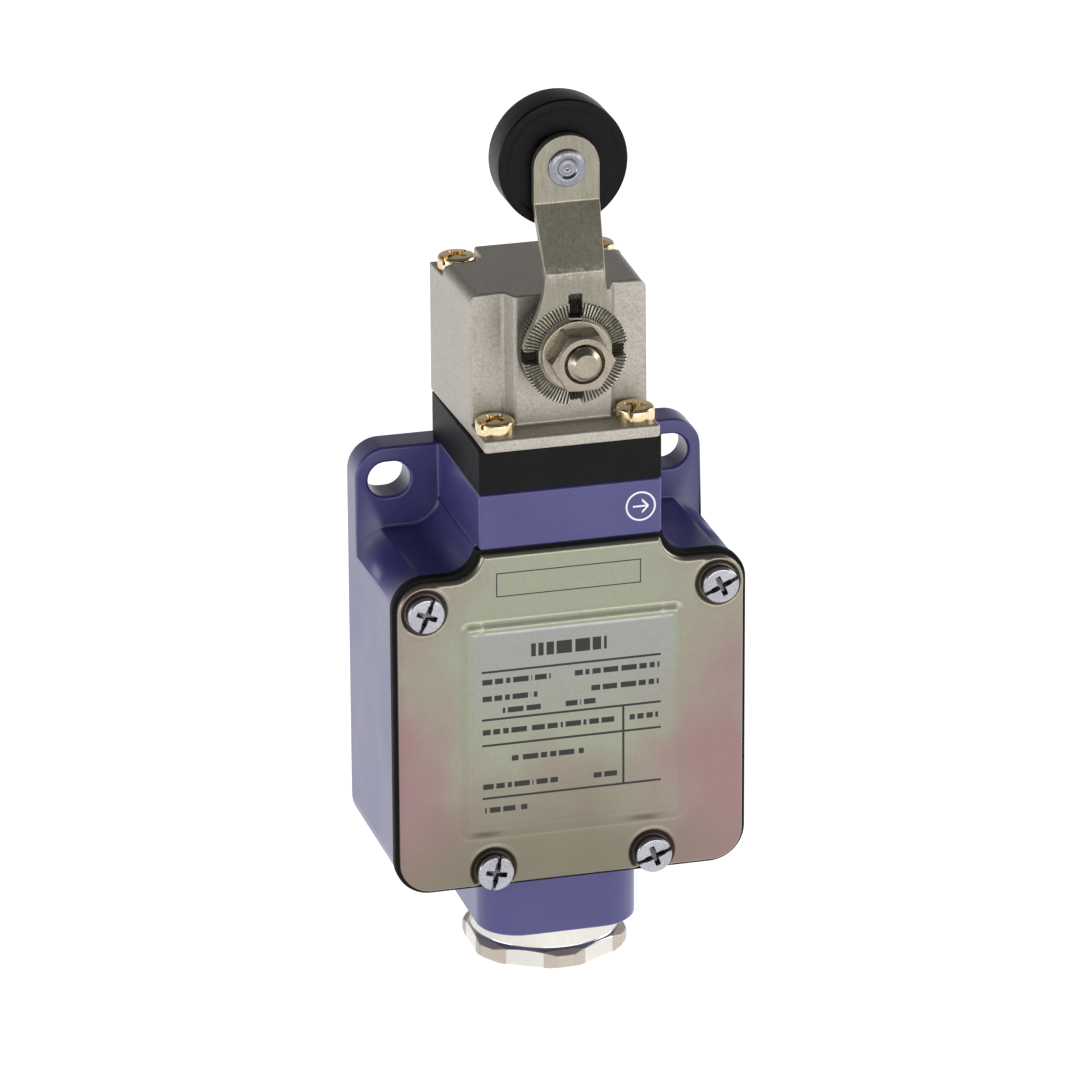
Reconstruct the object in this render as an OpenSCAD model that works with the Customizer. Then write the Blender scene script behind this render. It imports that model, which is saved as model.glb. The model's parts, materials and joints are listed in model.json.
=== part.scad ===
// Roller-lever limit switch: die-cast casing with two fixing slots, pressed front cover,
// rotary head on a black collar, serrated lever with a roller, and a snap contact block inside.
// The origin is midway between the fixing slots on the mounting face. X runs across the switch,
// +Y points into the mounting surface and +Z points from the cable entry to the roller.
// Heights named ..._h are measured up from the underside of the casing's box.

/* [Casing] */
// Width of the casing
body_w = 52.2; // [50:0.1:66]
// Height of the casing's box, from its underside to the shoulders
body_h = 48.5; // [45:0.5:64]
// Depth of the casing's box, from the mounting face to the gasket
body_d = 26; // [25:0.5:34]
// Thickness of the casing's side walls
wall = 3; // [2.4:0.1:3.6]
// Thickness of the wall behind the mechanism
back_wall = 3.5; // [3:0.1:4.2]
// Radius of the lower corners
lower_r = 5; // [3:0.1:6]
// Radius of the shoulder corners
shoulder_r = 4.6; // [3:0.1:6]
// Thickness of the ears that carry the fixing slots
ear_t = 5.5; // [4:0.1:8]
// Height of the ears above the shoulders
ear_rise = 12.4; // [11:0.1:18]
// Radius of the ears' upper corners
ear_r = 4.6; // [2:0.1:6]
// Width of the neck under the head
neck_w = 27.1; // [26:0.1:32]
// Distance from the mounting face to the front of the neck
neck_front = 28.3; // [28:0.1:33]
// Radius where the neck runs out into the shoulders
neck_fillet = 4.3; // [3:0.1:5]

/* [Fixing slots] */
// Distance between the two slots
slot_spacing = 42; // [40:0.1:56]
// End to end length of each slot
slot_length = 6.3; // [5.6:0.1:8]
// Width of each slot
slot_w = 5.3; // [4:0.1:6]
// Distance of the slots below the top of the ears
slot_drop = 5; // [4.5:0.1:7]

/* [Front cover] */
// Thickness of the pressed steel cover
cover_t = 1.2; // [0.8:0.1:2]
// Thickness of the cover gasket
gasket_t = 1.6; // [1:0.1:2.4]
// How far the gasket stands out past the casing
gasket_proud = 0.3; // [0:0.1:1]
// How far the cover's edge lies inside the casing's outline
cover_inset = 0.3; // [0:0.1:1]
// Width of the raised label panel
panel_w = 30.4; // [24:0.1:34]
// Height of the raised label panel
panel_h = 30.2; // [22:0.1:36]
// Height of the panel's lower edge
panel_bottom_h = 9.6; // [8:0.1:14]
// How far the panel is raised
panel_rise = 0.5; // [0.2:0.1:1]
// Distance of the upper cover screws from the sides of the casing
upper_screw_in = 4.15; // [4:0.05:6]
// Distance of the upper cover screws below the shoulders
upper_screw_down = 4.5; // [4:0.1:6]
// Distance between the two lower cover screws
lower_screw_spacing = 23.9; // [20:0.1:30]
// Height of the lower cover screws
lower_screw_h = 2.8; // [2.5:0.1:4]

/* [Cable entry] */
// Distance from the mounting face to the cable entry's axis
entry_y = 12.6; // [12.3:0.1:14]
// Width of the cable entry's boss
entry_w = 24; // [21:0.1:27]
// Height of the boss below the casing's box
entry_drop = 10.3; // [9:0.1:16]
// Radius of the boss's corners
entry_r = 6.3; // [3:0.1:8]
// Radius of the threaded hole in the boss
entry_bore_r = 8.2; // [7:0.1:9]
// Distance across the flats of the gland nut
gland_af = 22.6; // [20:0.1:24]
// Height of the gland nut below the boss
gland_h = 5.9; // [5:0.1:10]
// Radius of the cable passage through the gland nut
gland_bore_r = 5.6; // [4:0.1:6]

/* [Head] */
// Height of the black collar between the neck and the head
collar_h = 6.7; // [5:0.1:9]
// Distance of the collar's back from the mounting face
collar_back = 1.6; // [0:0.1:3]
// Distance from the mounting face to the plunger's axis
plunger_y = 15; // [14.6:0.1:15.6]
// Height of the head housing above the collar
head_h = 21.4; // [21:0.1:26]
// Distance of the head's back from the mounting face
head_back = 1.3; // [0:0.1:2]
// Width of the head at its back
head_back_w = 27.3; // [26.6:0.1:30]
// Width of the head at its front
head_front_w = 26.1; // [26:0.1:30]
// Distance from the mounting face to the flats on both sides of the head's front
head_side_front = 22.1; // [22:0.1:23]
// Distance from the mounting face to the raised middle of the head's front
head_front = 24.5; // [24.4:0.1:25]
// Width of the raised middle
head_middle_w = 14.2; // [13:0.1:15]
// Distance from the mounting face to the front of the plinth
plinth_front = 29.4; // [28.6:0.1:31]
// Thickness of the plinth
plinth_t = 1.8; // [1.4:0.1:3]
// Distance between the head screws, both ways
head_screw_pitch = 20.8; // [20.6:0.1:21]
// Height of the lever shaft's axis above the collar
shaft_rise = 14.5; // [14.2:0.1:14.6]

/* [Lever] */
// Distance from the shaft's axis to the roller's axis
lever_length = 26.3; // [22:0.1:45]
// Thickness of the lever
lever_t = 1.5; // [1:0.1:2]
// Distance from the mounting face to the back of the lever at the shaft
lever_back = 29.7; // [29:0.1:31]
// How far the roller end of the lever is set back
lever_joggle = 4.3; // [3:0.1:5]
// Radius of the lever's serrated disc
disc_r = 7.65; // [7:0.05:8.5]
// Half of the lever's width at the roller
tab_r = 4.85; // [4:0.05:6]
// Half of the lever's width at its narrowest place
waist_half = 4.4; // [3.5:0.1:5]
// Width of the notches in the disc
notch_w = 1.9; // [1:0.1:2.5]

/* [Roller] */
// Diameter of the roller
roller_d = 19; // [15:0.5:26]
// Width of the roller
roller_w = 5.8; // [4:0.1:6]

/* [Motion] */
// Travel of the plunger and the moving contacts
plunger_travel = 2.5; // [2:0.1:2.5]
// Radial clearance of parts that turn or slide in each other
run_gap = 0.06; // [0.03:0.01:0.1]
// Radial clearance of screws in the holes they pass through
screw_gap = 0.15; // [0.1:0.01:0.3]
// Radial clearance between a screw and the hole that it is driven into
thread_gap = 0.04; // [0.02:0.01:0.1]
// Clearance between parts that only lie beside each other
loose_gap = 0.2; // [0.1:0.01:0.4]

/* [Hidden] */
$fn = 64;
over = 1;               // how far a cut runs past the surface that it opens

// Casing
casing_top_h = body_h + ear_rise;
slot_h = casing_top_h - slot_drop;
cavity_top_h = body_h - wall;
cavity_half = body_w / 2 - wall;
screw_boss_r = 3.3;

// Cover
gasket_front = body_d + gasket_t;
cover_front = gasket_front + cover_t;
tab_top_h = body_h + 3.9;            // top of the cover's tongue in front of the neck
upper_screw_x = body_w / 2 - upper_screw_in;
upper_screw_h = body_h - upper_screw_down;
cover_screw_places = [
    [-upper_screw_x, upper_screw_h],
    [upper_screw_x, upper_screw_h],
    [-lower_screw_spacing / 2, lower_screw_h],
    [lower_screw_spacing / 2, lower_screw_h]
];
m3_r = 1.5;
m3_head_r = 2.7;
cover_head_t = 2.3;
dimple_r = 3.3;
dimple_d = 0.5;
cover_screw_depth = 9;               // length of each cover screw inside the casing

// Cable entry
entry_floor_t = 5.6;                 // solid height above the threaded hole, with the cable's way through
entry_way_r = 6.2;
gland_spigot_h = 4.3;
gland_washer_t = 0.7;
gland_seal_h = entry_drop + wall - entry_floor_t - gland_spigot_h - gland_washer_t;
seal_bore_r = gland_bore_r - 0.5;
gland_turned_r = gland_af / 2 + 1;
gland_collar_r = gland_af / 2 - 0.4;

// Head
collar_top_h = casing_top_h + collar_h;
head_top_h = collar_top_h + head_h;
shaft_h = collar_top_h + shaft_rise;
head_screw_x = head_screw_pitch / 2;
front_screw_y = plunger_y + head_screw_pitch / 2;
rear_screw_y = plunger_y - head_screw_pitch / 2;
head_screw_head_r = 2.8;
head_screw_head_t = 1.9;
head_pocket_r = 3.4;
head_pocket_d = 1.7;
head_screw_depth = 7;                // length of each head screw inside the neck
chamber_half = 7.6;
chamber_back = 5;
chamber_front = 19.5;
chamber_roof_h = head_top_h - 1.8;

// Shaft, hub and fasteners, as distances in front of the mounting face
shaft_r = 4;
journal_r = 2.9;
journal_end = chamber_back - 2.2;
cam_back = 9.6;
cam_front = 18.9;
cam_half = 5;
cam_flat = 3.5;                      // distance of the cam's flat below the axis at rest
cam_back_r = 4.4;
cam_reach = sqrt(cam_half * cam_half + cam_flat * cam_flat);
bush_r = 5.5;
bush_front = head_front - 0.2;
hub_neck_back = head_front + 0.45;
hub_neck_r = 5.2;
hub_disc_t = 2.3;
hub_seat_r = 3;
stud_r = 2.5;
lever_front = lever_back + lever_t;
washer_t = 0.8;
washer_r = 5.1;
nut_af = 8.1;
nut_t = 4;
nut_back = lever_front + washer_t;
stud_end = nut_back + nut_t + 1.1;
seal_groove_y = 21.2;
seal_groove_w = 1.1;
seal_groove_r = 3.1;

// Lever
bend_low = 12;                       // heights of the two bends above the shaft's axis
bend_high = lever_length - 5;
flare_meet_r = disc_r - 0.05;        // the hollow arcs touch a circle just inside the disc
flare_r = (waist_half * waist_half + bend_low * bend_low - flare_meet_r * flare_meet_r)
    / 2 / (flare_meet_r - waist_half);
notch_inner_r = 5.4;
top_notch_outer_r = 8.8;
tab_front = lever_front - lever_joggle;
tab_back = tab_front - lever_t;

// Roller
roller_h = shaft_h + lever_length;
roller_r = roller_d / 2;
roller_front = tab_back - 0.3;
roller_back = roller_front - roller_w;
axle_r = 2;
axle_head_r = 2.8;
axle_head_t = 0.6;
axle_flange_r = 3.2;
axle_flange_t = 0.6;
axle_recess_r = 1.35;

// Plunger
plunger_r = 2;
plunger_top_h = shaft_h - cam_reach - 0.15;
plunger_disc_r = 4.2;
plunger_disc_t = 1.5;
guide_r = 5.5;
guide_bottom_h = cavity_top_h + 0.5;
plunger_seal_r = 5;
plunger_seal_t = 2;
spring_wire_r = 0.35;
spring_r = 3.4;
spring_turns = 4;
spring_steps = 20;

// Contact block: the carrier's stub meets the plunger just under the casing's neck
block_bottom_h = 14;
block_top_h = cavity_top_h - 2.5;
block_half = 17;
block_front = 19;
bay_half = 10.5;
bay_back = 8;
bay_bottom_h = block_bottom_h + 4;
bay_top_h = block_top_h - 3;
tab_seat = 17.5;                     // distance of the terminal tabs' seats from the mounting face
contact_y = plunger_y;
contact_half_w = 2.5;                // half of the contact strips' width
contact_x = 8;
strip_t = 0.8;
tip_r = 1.4;
tip_t = 0.8;
contact_gap = 0.05;
carrier_half = 3;
stub_top_h = cavity_top_h - 1.1;
stub_r = 2.1;
bridge_h = (bay_bottom_h + bay_top_h) / 2 + 1;
bridge_half = 9.6;
window_half = 1.5;
closed_h = bridge_h + strip_t / 2 + tip_t + contact_gap;
open_h = bridge_h - strip_t / 2 - tip_t - contact_gap - plunger_travel;
terminal_x = 13.7;
terminal_half = 2.5;
tab_t = 1;
clamp_t = 1.2;
terminal_head_t = 2.2;
upper_terminal_h = bay_top_h - 4;
lower_terminal_h = bay_bottom_h + 3.5;
barrier_t = 1.4;
barrier_front = 21.5;
block_screw_places = [[-7.5, bay_top_h - 3], [7.5, bay_bottom_h + 3]];
block_screw_r = 1.25;
block_screw_head_r = 2.4;
earth_x = 15;
earth_h = 10.2;
earth_boss_r = 3.6;
earth_seat = back_wall + 4.5;
earth_screw_r = 1.75;
earth_head_r = 3.2;
earth_head_t = 2.2;

// Moves heights measured from the casing's underside into the part's own frame
module on_datum() {
    translate([0, 0, -slot_h]) children();
}

// Extrudes an outline drawn in X and height from one distance in front of the mounting face to another
module layer(from, to) {
    translate([0, -from, 0]) rotate([90, 0, 0]) linear_extrude(to - from) children();
}

// Round bar along Y between two distances in front of the mounting face
module bar_y(r, from, to, x = 0, h = 0) {
    translate([x, -from, h]) rotate([90, 0, 0]) cylinder(r = r, h = to - from);
}

// Round bar along Z, from one height to another, at a distance in front of the mounting face
module bar_z(r, low, high, x = 0, y = plunger_y) {
    translate([x, -y, low]) cylinder(r = r, h = high - low);
}

// Box from its limits, with Y given as distances in front of the mounting face
module block_from(x0, x1, back, front, low, high) {
    translate([x0, -front, low]) cube([x1 - x0, front - back, high - low]);
}

// Rectangle with round corners: r_low at the bottom and r_high at the top
module soft_rect(half_w, low, high, r_low, r_high) {
    translate([-half_w, low + r_low]) square([2 * half_w, high - low - r_low - r_high]);
    translate([-half_w + r_low, low]) square([2 * (half_w - r_low), r_low]);
    translate([-half_w + r_high, high - r_high]) square([2 * (half_w - r_high), r_high]);
    for (side = [-1, 1]) {
        translate([side * (half_w - r_low), low + r_low]) circle(r = r_low);
        translate([side * (half_w - r_high), high - r_high]) circle(r = r_high);
    }
}

// Outline shared by the casing's rim, the gasket and the cover, moved inwards by `inset`
module rim_outline(inset, top_h) {
    half_neck = neck_w / 2 - inset;
    shoulder = body_h - inset;
    fillet = neck_fillet;
    soft_rect(body_w / 2 - inset, inset, shoulder, lower_r - inset, shoulder_r - inset);
    difference() {
        translate([-half_neck - fillet, shoulder - over])
            square([2 * (half_neck + fillet), top_h - shoulder + over]);
        for (side = [-1, 1]) {
            translate([side * (half_neck + fillet), shoulder + fillet]) circle(r = fillet);
            translate([side * (half_neck + fillet / 2) - fillet / 2, shoulder + fillet])
                square([fillet, body_h]);
        }
    }
}

// Outline of a fixing slot: a round-ended slot along X, centred on the origin
module slot_outline() {
    straight = slot_length - slot_w;
    square([straight, slot_w], center = true);
    for (side = [-1, 1]) translate([side * straight / 2, 0]) circle(d = slot_w);
}

// Cross recess and driver slot cut into a screw head whose top is at z = 0
module drive_cut(r) {
    for (turn = [0, 90]) {
        rotate([0, 0, turn]) translate([-0.45 * r, -0.12 * r, -0.8]) cube([0.9 * r, 0.24 * r, 0.8 + over]);
    }
    translate([-r - over, -0.11 * r, -0.45]) cube([2 * (r + over), 0.22 * r, 0.45 + over]);
}

// Pan head screw standing along +Z: seat at z = 0, shank below it
module pan_screw(shank_r, shank_l, head_r, head_t) {
    edge = 0.35;
    translate([0, 0, -shank_l]) cylinder(r = shank_r, h = shank_l + edge);
    difference() {
        union() {
            cylinder(r = head_r, h = head_t - edge);
            translate([0, 0, head_t - edge]) cylinder(r1 = head_r, r2 = head_r - edge, h = edge);
        }
        translate([0, 0, head_t]) drive_cut(head_r);
    }
}

// The same screw pointing into the switch from the front, with its seat at distance `seat`
module front_screw(x, h, seat, shank_r, shank_l, head_r, head_t, turn) {
    translate([x, -seat, h]) rotate([90, 0, 0]) rotate([0, 0, turn])
        pan_screw(shank_r, shank_l, head_r, head_t);
}

module casing_box() {
    half = body_w / 2;
    layer(0, body_d) rim_outline(0, tab_top_h);
    layer(0, ear_t) soft_rect(half, body_h - 2 * shoulder_r, casing_top_h, 0.01, ear_r);
    block_from(-neck_w / 2, neck_w / 2, 0, neck_front, tab_top_h, casing_top_h);
    block_from(-neck_w / 2, neck_w / 2, 0, body_d, body_h, tab_top_h + over);
}

// Boss of the cable entry, flat against the mounting surface and round at its front corners
module entry_boss() {
    front = entry_y + entry_w / 2;
    translate([0, 0, -entry_drop]) linear_extrude(entry_drop + wall) {
        translate([-entry_w / 2, -front + entry_r]) square([entry_w, front - entry_r]);
        translate([-entry_w / 2 + entry_r, -front]) square([entry_w - 2 * entry_r, entry_r]);
        for (side = [-1, 1]) {
            translate([side * (entry_w / 2 - entry_r), -front + entry_r]) circle(r = entry_r);
        }
    }
}

module casing_cavity() {
    inner_r = 2;
    layer(back_wall, body_d + over) soft_rect(cavity_half, wall, cavity_top_h, inner_r, inner_r);
}

module casing_bosses() {
    intersection() {
        layer(back_wall - over, body_d) rim_outline(0, tab_top_h);
        union() {
            for (place = cover_screw_places) {
                bar_y(screw_boss_r, back_wall - over, body_d, place[0], place[1]);
            }
            bar_y(earth_boss_r, back_wall - over, earth_seat, earth_x, earth_h);
        }
    }
}

module casing() {
    color("slateblue") on_datum() difference() {
        union() {
            difference() {
                union() {
                    casing_box();
                    entry_boss();
                }
                casing_cavity();
            }
            casing_bosses();
        }
        for (side = [-1, 1]) {
            layer(-over, ear_t + over) translate([side * slot_spacing / 2, slot_h]) slot_outline();
            for (y = [front_screw_y, rear_screw_y]) {
                bar_z(m3_r + thread_gap, casing_top_h - head_screw_depth - over, casing_top_h + over,
                    side * head_screw_x, y);
            }
        }
        for (place = cover_screw_places) {
            bar_y(m3_r + thread_gap, body_d - cover_screw_depth - over, body_d + over, place[0], place[1]);
        }
        for (place = block_screw_places) {
            bar_y(block_screw_r + thread_gap, 0.8, back_wall + over, place[0], place[1]);
        }
        bar_y(earth_screw_r + thread_gap, 1.2, earth_seat + over, earth_x, earth_h);
        bar_z(guide_r, cavity_top_h - over, casing_top_h + over);
        bar_z(entry_bore_r, -entry_drop - over, wall - entry_floor_t, 0, entry_y);
        bar_z(entry_way_r, -entry_drop, wall + over, 0, entry_y);
    }
}

module cover_gasket() {
    color("black") on_datum() difference() {
        layer(body_d, gasket_front) rim_outline(-gasket_proud, tab_top_h);
        layer(body_d - over, gasket_front + over)
            soft_rect(cavity_half, wall, cavity_top_h, shoulder_r, shoulder_r);
        for (place = cover_screw_places) {
            bar_y(m3_r + screw_gap, body_d - over, gasket_front + over, place[0], place[1]);
        }
    }
}

module front_cover() {
    color("tan") on_datum() difference() {
        union() {
            layer(gasket_front, cover_front) rim_outline(cover_inset, tab_top_h - 2 * cover_inset);
            layer(cover_front - cover_t / 2, cover_front + panel_rise)
                soft_rect(panel_w / 2, panel_bottom_h, panel_bottom_h + panel_h, 0.5, 0.5);
        }
        for (place = cover_screw_places) {
            bar_y(m3_r + screw_gap, gasket_front - over, cover_front + over, place[0], place[1]);
            bar_y(dimple_r, cover_front - dimple_d, cover_front + over, place[0], place[1]);
        }
    }
}

module cover_screws() {
    seat = cover_front - dimple_d;
    color("silver") on_datum() for (place = cover_screw_places) {
        front_screw(place[0], place[1], seat, m3_r, seat - body_d + cover_screw_depth,
            m3_head_r, cover_head_t, place[0] < 0 ? 68 : 24);
    }
}

// Gland nut: a turned body with six flats, and a threaded spigot that screws into the boss
module gland_nut() {
    low = -entry_drop - gland_h;
    color("gainsboro") on_datum() translate([0, -entry_y, 0]) difference() {
        union() {
            intersection() {
                rotate_extrude() polygon([
                    [0, low],
                    [gland_turned_r - 0.5, low],
                    [gland_turned_r, low + 0.5],
                    [gland_turned_r, low + 2.2],
                    [gland_collar_r, low + 2.9],
                    [gland_collar_r - 0.4, -entry_drop],
                    [0, -entry_drop]
                ]);
                rotate([0, 0, 30]) translate([0, 0, low - over])
                    cylinder(d = gland_af / cos(30), h = gland_h + 2 * over, $fn = 6);
            }
            translate([0, 0, -entry_drop - over])
                cylinder(r = entry_bore_r - thread_gap, h = gland_spigot_h + over);
        }
        translate([0, 0, low - over]) cylinder(r = gland_bore_r, h = gland_h + gland_spigot_h + 2 * over);
    }
}

module gland_ring(low, high, inner_r) {
    translate([0, -entry_y, low]) difference() {
        cylinder(r = entry_bore_r - loose_gap, h = high - low);
        translate([0, 0, -over]) cylinder(r = inner_r, h = high - low + 2 * over);
    }
}

module gland_washer() {
    low = -entry_drop + gland_spigot_h;
    color("silver") on_datum() gland_ring(low, low + gland_washer_t, gland_bore_r);
}

module gland_seal() {
    low = -entry_drop + gland_spigot_h + gland_washer_t;
    color("dimgray") on_datum() gland_ring(low, low + gland_seal_h, seal_bore_r);
}

module head_collar() {
    color("black") on_datum() difference() {
        block_from(-neck_w / 2, neck_w / 2, collar_back, neck_front, casing_top_h, collar_top_h);
        bar_z(plunger_r + 0.6, casing_top_h - over, collar_top_h + over);
        bar_z(plunger_seal_r + loose_gap, casing_top_h - over, casing_top_h + plunger_seal_t + loose_gap);
        for (side = [-1, 1]) {
            for (y = [front_screw_y, rear_screw_y]) {
                bar_z(m3_r + screw_gap, casing_top_h - over, collar_top_h + over, side * head_screw_x, y);
            }
        }
    }
}

// Plan of the head: it widens towards the back and its middle stands forward of both sides
module head_plan() {
    slope_half = head_middle_w / 2 + 1.1;
    polygon([
        [-head_back_w / 2, -head_back],
        [-head_front_w / 2, -head_side_front],
        [-slope_half, -head_side_front],
        [-head_middle_w / 2, -head_front],
        [head_middle_w / 2, -head_front],
        [slope_half, -head_side_front],
        [head_front_w / 2, -head_side_front],
        [head_back_w / 2, -head_back]
    ]);
}

module head_housing() {
    half = head_front_w / 2;
    color("silver") on_datum() difference() {
        union() {
            translate([0, 0, collar_top_h]) linear_extrude(head_h) head_plan();
            block_from(-half, half, plunger_y, plinth_front, collar_top_h, collar_top_h + plinth_t);
        }
        block_from(-chamber_half, chamber_half, chamber_back, chamber_front,
            collar_top_h - over, chamber_roof_h);
        bar_y(bush_r, chamber_front - over, bush_front, 0, shaft_h);
        bar_y(shaft_r + 2 * screw_gap, bush_front - over, head_front + over, 0, shaft_h);
        bar_y(journal_r + run_gap, journal_end - run_gap, chamber_back + over, 0, shaft_h);
        for (side = [-1, 1]) {
            x = side * head_screw_x;
            bar_z(m3_r + screw_gap, collar_top_h - over, collar_top_h + plinth_t + over, x, front_screw_y);
            bar_z(m3_r + screw_gap, collar_top_h - over, head_top_h + over, x, rear_screw_y);
        }
        for (side = [0, 1]) mirror([side, 0, 0]) corner_pocket();
    }
}

// Pocket for a rear head screw, round at its inner corner and open to the side and the back
module corner_pocket() {
    low = head_top_h - head_pocket_d;
    high = head_top_h + over;
    side = head_back_w / 2 + over;
    bar_z(head_pocket_r, low, high, head_screw_x, rear_screw_y);
    block_from(head_screw_x, side, -over, rear_screw_y + head_pocket_r, low, high);
    block_from(head_screw_x - head_pocket_r, side, -over, rear_screw_y, low, high);
}

// Pair of head screws whose heads seat at one height
module head_screw_pair(y, seat_h) {
    shank = seat_h - casing_top_h + head_screw_depth;
    for (side = [-1, 1]) {
        translate([side * head_screw_x, -y, seat_h]) rotate([0, 0, 20 + side * 15])
            pan_screw(m3_r, shank, head_screw_head_r, head_screw_head_t);
    }
}

module front_head_screws() {
    color("gold") on_datum() head_screw_pair(front_screw_y, collar_top_h + plinth_t);
}

module rear_head_screws() {
    color("gold") on_datum() head_screw_pair(rear_screw_y, head_top_h - head_pocket_d);
}

module plunger_guide() {
    color("ivory") on_datum() difference() {
        bar_z(guide_r, guide_bottom_h, casing_top_h);
        bar_z(plunger_r + run_gap, guide_bottom_h - over, casing_top_h + over);
    }
}

module plunger_seal() {
    color("dimgray") on_datum() difference() {
        bar_z(plunger_seal_r, casing_top_h, casing_top_h + plunger_seal_t);
        bar_z(plunger_r + loose_gap, casing_top_h - over, casing_top_h + plunger_seal_t + over);
    }
}

module shaft_bush() {
    color("peru") on_datum() difference() {
        bar_y(bush_r, chamber_front, bush_front, 0, shaft_h);
        bar_y(shaft_r, chamber_front - over, bush_front + over, 0, shaft_h);
    }
}

// Insulating block with a bay for the moving contacts and a terminal seat in each corner
module contact_block() {
    seat_x0 = bay_half + 0.6;
    seat_x1 = block_half - 0.6;
    mid_h = (bay_bottom_h + bay_top_h) / 2;
    color("lightgray") on_datum() difference() {
        union() {
            block_from(-block_half, block_half, back_wall, block_front, block_bottom_h, block_top_h);
            for (side = [-1, 1]) {
                block_from(side * (bay_half + block_half) / 2 - 3, side * (bay_half + block_half) / 2 + 3,
                    block_front - over, barrier_front, mid_h - barrier_t / 2, mid_h + barrier_t / 2);
            }
        }
        block_from(-bay_half, bay_half, bay_back, block_front + over, bay_bottom_h, bay_top_h);
        bar_z(stub_r + run_gap, bay_top_h - over, block_top_h + over);
        for (place = block_screw_places) {
            bar_y(block_screw_r + screw_gap, back_wall - over, bay_back + over, place[0], place[1]);
        }
        for (side = [0, 1]) mirror([side, 0, 0]) {
            block_from(seat_x0, seat_x1, tab_seat, block_front + over,
                bay_bottom_h - 0.5, mid_h - barrier_t / 2);
            block_from(seat_x0, seat_x1, tab_seat, block_front + over,
                mid_h + barrier_t / 2, bay_top_h + 0.5);
            strip_slot(closed_h + tip_t);
            strip_slot(open_h - tip_t - strip_t);
            for (h = [upper_terminal_h, lower_terminal_h]) {
                bar_y(m3_r + screw_gap, bay_back, tab_seat + over, terminal_x, h);
            }
        }
    }
}

// Slot that lets a contact strip pass from the bay to its terminal, with the strip's underside at `low`
module strip_slot(low) {
    block_from(bay_half - over, terminal_x + terminal_half + 0.1, contact_y - contact_half_w - 0.1,
        block_front + over, low - 0.05, low + strip_t + 0.05);
}

module contact_block_screws() {
    color("silver") on_datum() for (place = block_screw_places) {
        front_screw(place[0], place[1], bay_back, block_screw_r, bay_back - 1,
            block_screw_head_r, 1.8, 15);
    }
}

// One fixed contact: tip, strip and terminal tab; `way` is 1 for a strip above the tip and -1 below it
module fixed_contact(tip_h, terminal_h, way) {
    strip_low = way > 0 ? tip_h + tip_t : tip_h - tip_t - strip_t;
    tab_far = terminal_h + way * 3.4;
    bar_z(tip_r, min(tip_h, tip_h + way * tip_t), max(tip_h, tip_h + way * tip_t), contact_x, contact_y);
    block_from(contact_x - tip_r, terminal_x + terminal_half, contact_y - contact_half_w, tab_seat,
        strip_low, strip_low + strip_t);
    difference() {
        block_from(terminal_x - terminal_half, terminal_x + terminal_half, tab_seat, tab_seat + tab_t,
            min(strip_low, tab_far), max(strip_low + strip_t, tab_far));
        bar_y(m3_r + thread_gap, tab_seat - over, tab_seat + tab_t + over, terminal_x, terminal_h);
    }
}

module closed_contacts() {
    color("goldenrod") on_datum() for (side = [0, 1]) mirror([side, 0, 0])
        fixed_contact(closed_h, upper_terminal_h, 1);
}

module open_contacts() {
    color("goldenrod") on_datum() for (side = [0, 1]) mirror([side, 0, 0])
        fixed_contact(open_h, lower_terminal_h, -1);
}

module terminal_clamps() {
    seat = tab_seat + tab_t;
    color("silver") on_datum() for (side = [-1, 1]) {
        for (h = [upper_terminal_h, lower_terminal_h]) {
            difference() {
                block_from(side * terminal_x - 2.4, side * terminal_x + 2.4,
                    seat, seat + clamp_t, h - 2.9, h + 2.9);
                bar_y(m3_r + screw_gap, seat - over, seat + clamp_t + over, side * terminal_x, h);
            }
        }
    }
}

module terminal_screws() {
    seat = tab_seat + tab_t + clamp_t;
    color("silver") on_datum() for (side = [-1, 1]) {
        for (h = [upper_terminal_h, lower_terminal_h]) {
            front_screw(side * terminal_x, h, seat, m3_r, seat - bay_back - 1,
                m3_head_r, terminal_head_t, 30 * side);
        }
    }
}

module earth_clamp() {
    half = 3.4;
    color("silver") on_datum() difference() {
        block_from(earth_x - half, earth_x + half, earth_seat, earth_seat + clamp_t,
            earth_h - half, earth_h + half);
        bar_y(earth_screw_r + screw_gap, earth_seat - over, earth_seat + clamp_t + over, earth_x, earth_h);
    }
}

module earth_screw() {
    seat = earth_seat + clamp_t;
    color("silver") on_datum()
        front_screw(earth_x, earth_h, seat, earth_screw_r, seat - 1.6, earth_head_r, earth_head_t, 40);
}

// Shaft with its cam, both journals, the hub's seat and the threaded stud
module operating_shaft() {
    color("silver") on_datum() difference() {
        union() {
            bar_y(journal_r, journal_end, cam_back + over, 0, shaft_h);
            bar_y(cam_back_r, cam_back, cam_front, 0, shaft_h);
            block_from(-cam_half, cam_half, cam_back, cam_front, shaft_h - cam_flat, shaft_h - 0.6);
            bar_y(shaft_r - run_gap, cam_front - over, hub_neck_back, 0, shaft_h);
            bar_y(hub_seat_r, hub_neck_back - over, lever_back, 0, shaft_h);
            bar_y(stud_r, lever_back - over, stud_end - 0.6, 0, shaft_h);
            translate([0, -stud_end + 0.6, shaft_h]) rotate([90, 0, 0])
                cylinder(r1 = stud_r, r2 = stud_r - 0.6, h = 0.6);
        }
        difference() {
            bar_y(shaft_r + over, seal_groove_y, seal_groove_y + seal_groove_w, 0, shaft_h);
            bar_y(seal_groove_r, seal_groove_y - over, seal_groove_y + seal_groove_w + over, 0, shaft_h);
        }
    }
}

module shaft_seal() {
    ring_r = (shaft_r - run_gap - seal_groove_r) / 2 - 0.02;
    color("black") on_datum() translate([0, -seal_groove_y - seal_groove_w / 2, shaft_h]) rotate([90, 0, 0])
        rotate_extrude() translate([(shaft_r - run_gap + seal_groove_r) / 2, 0]) circle(r = ring_r);
}

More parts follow.
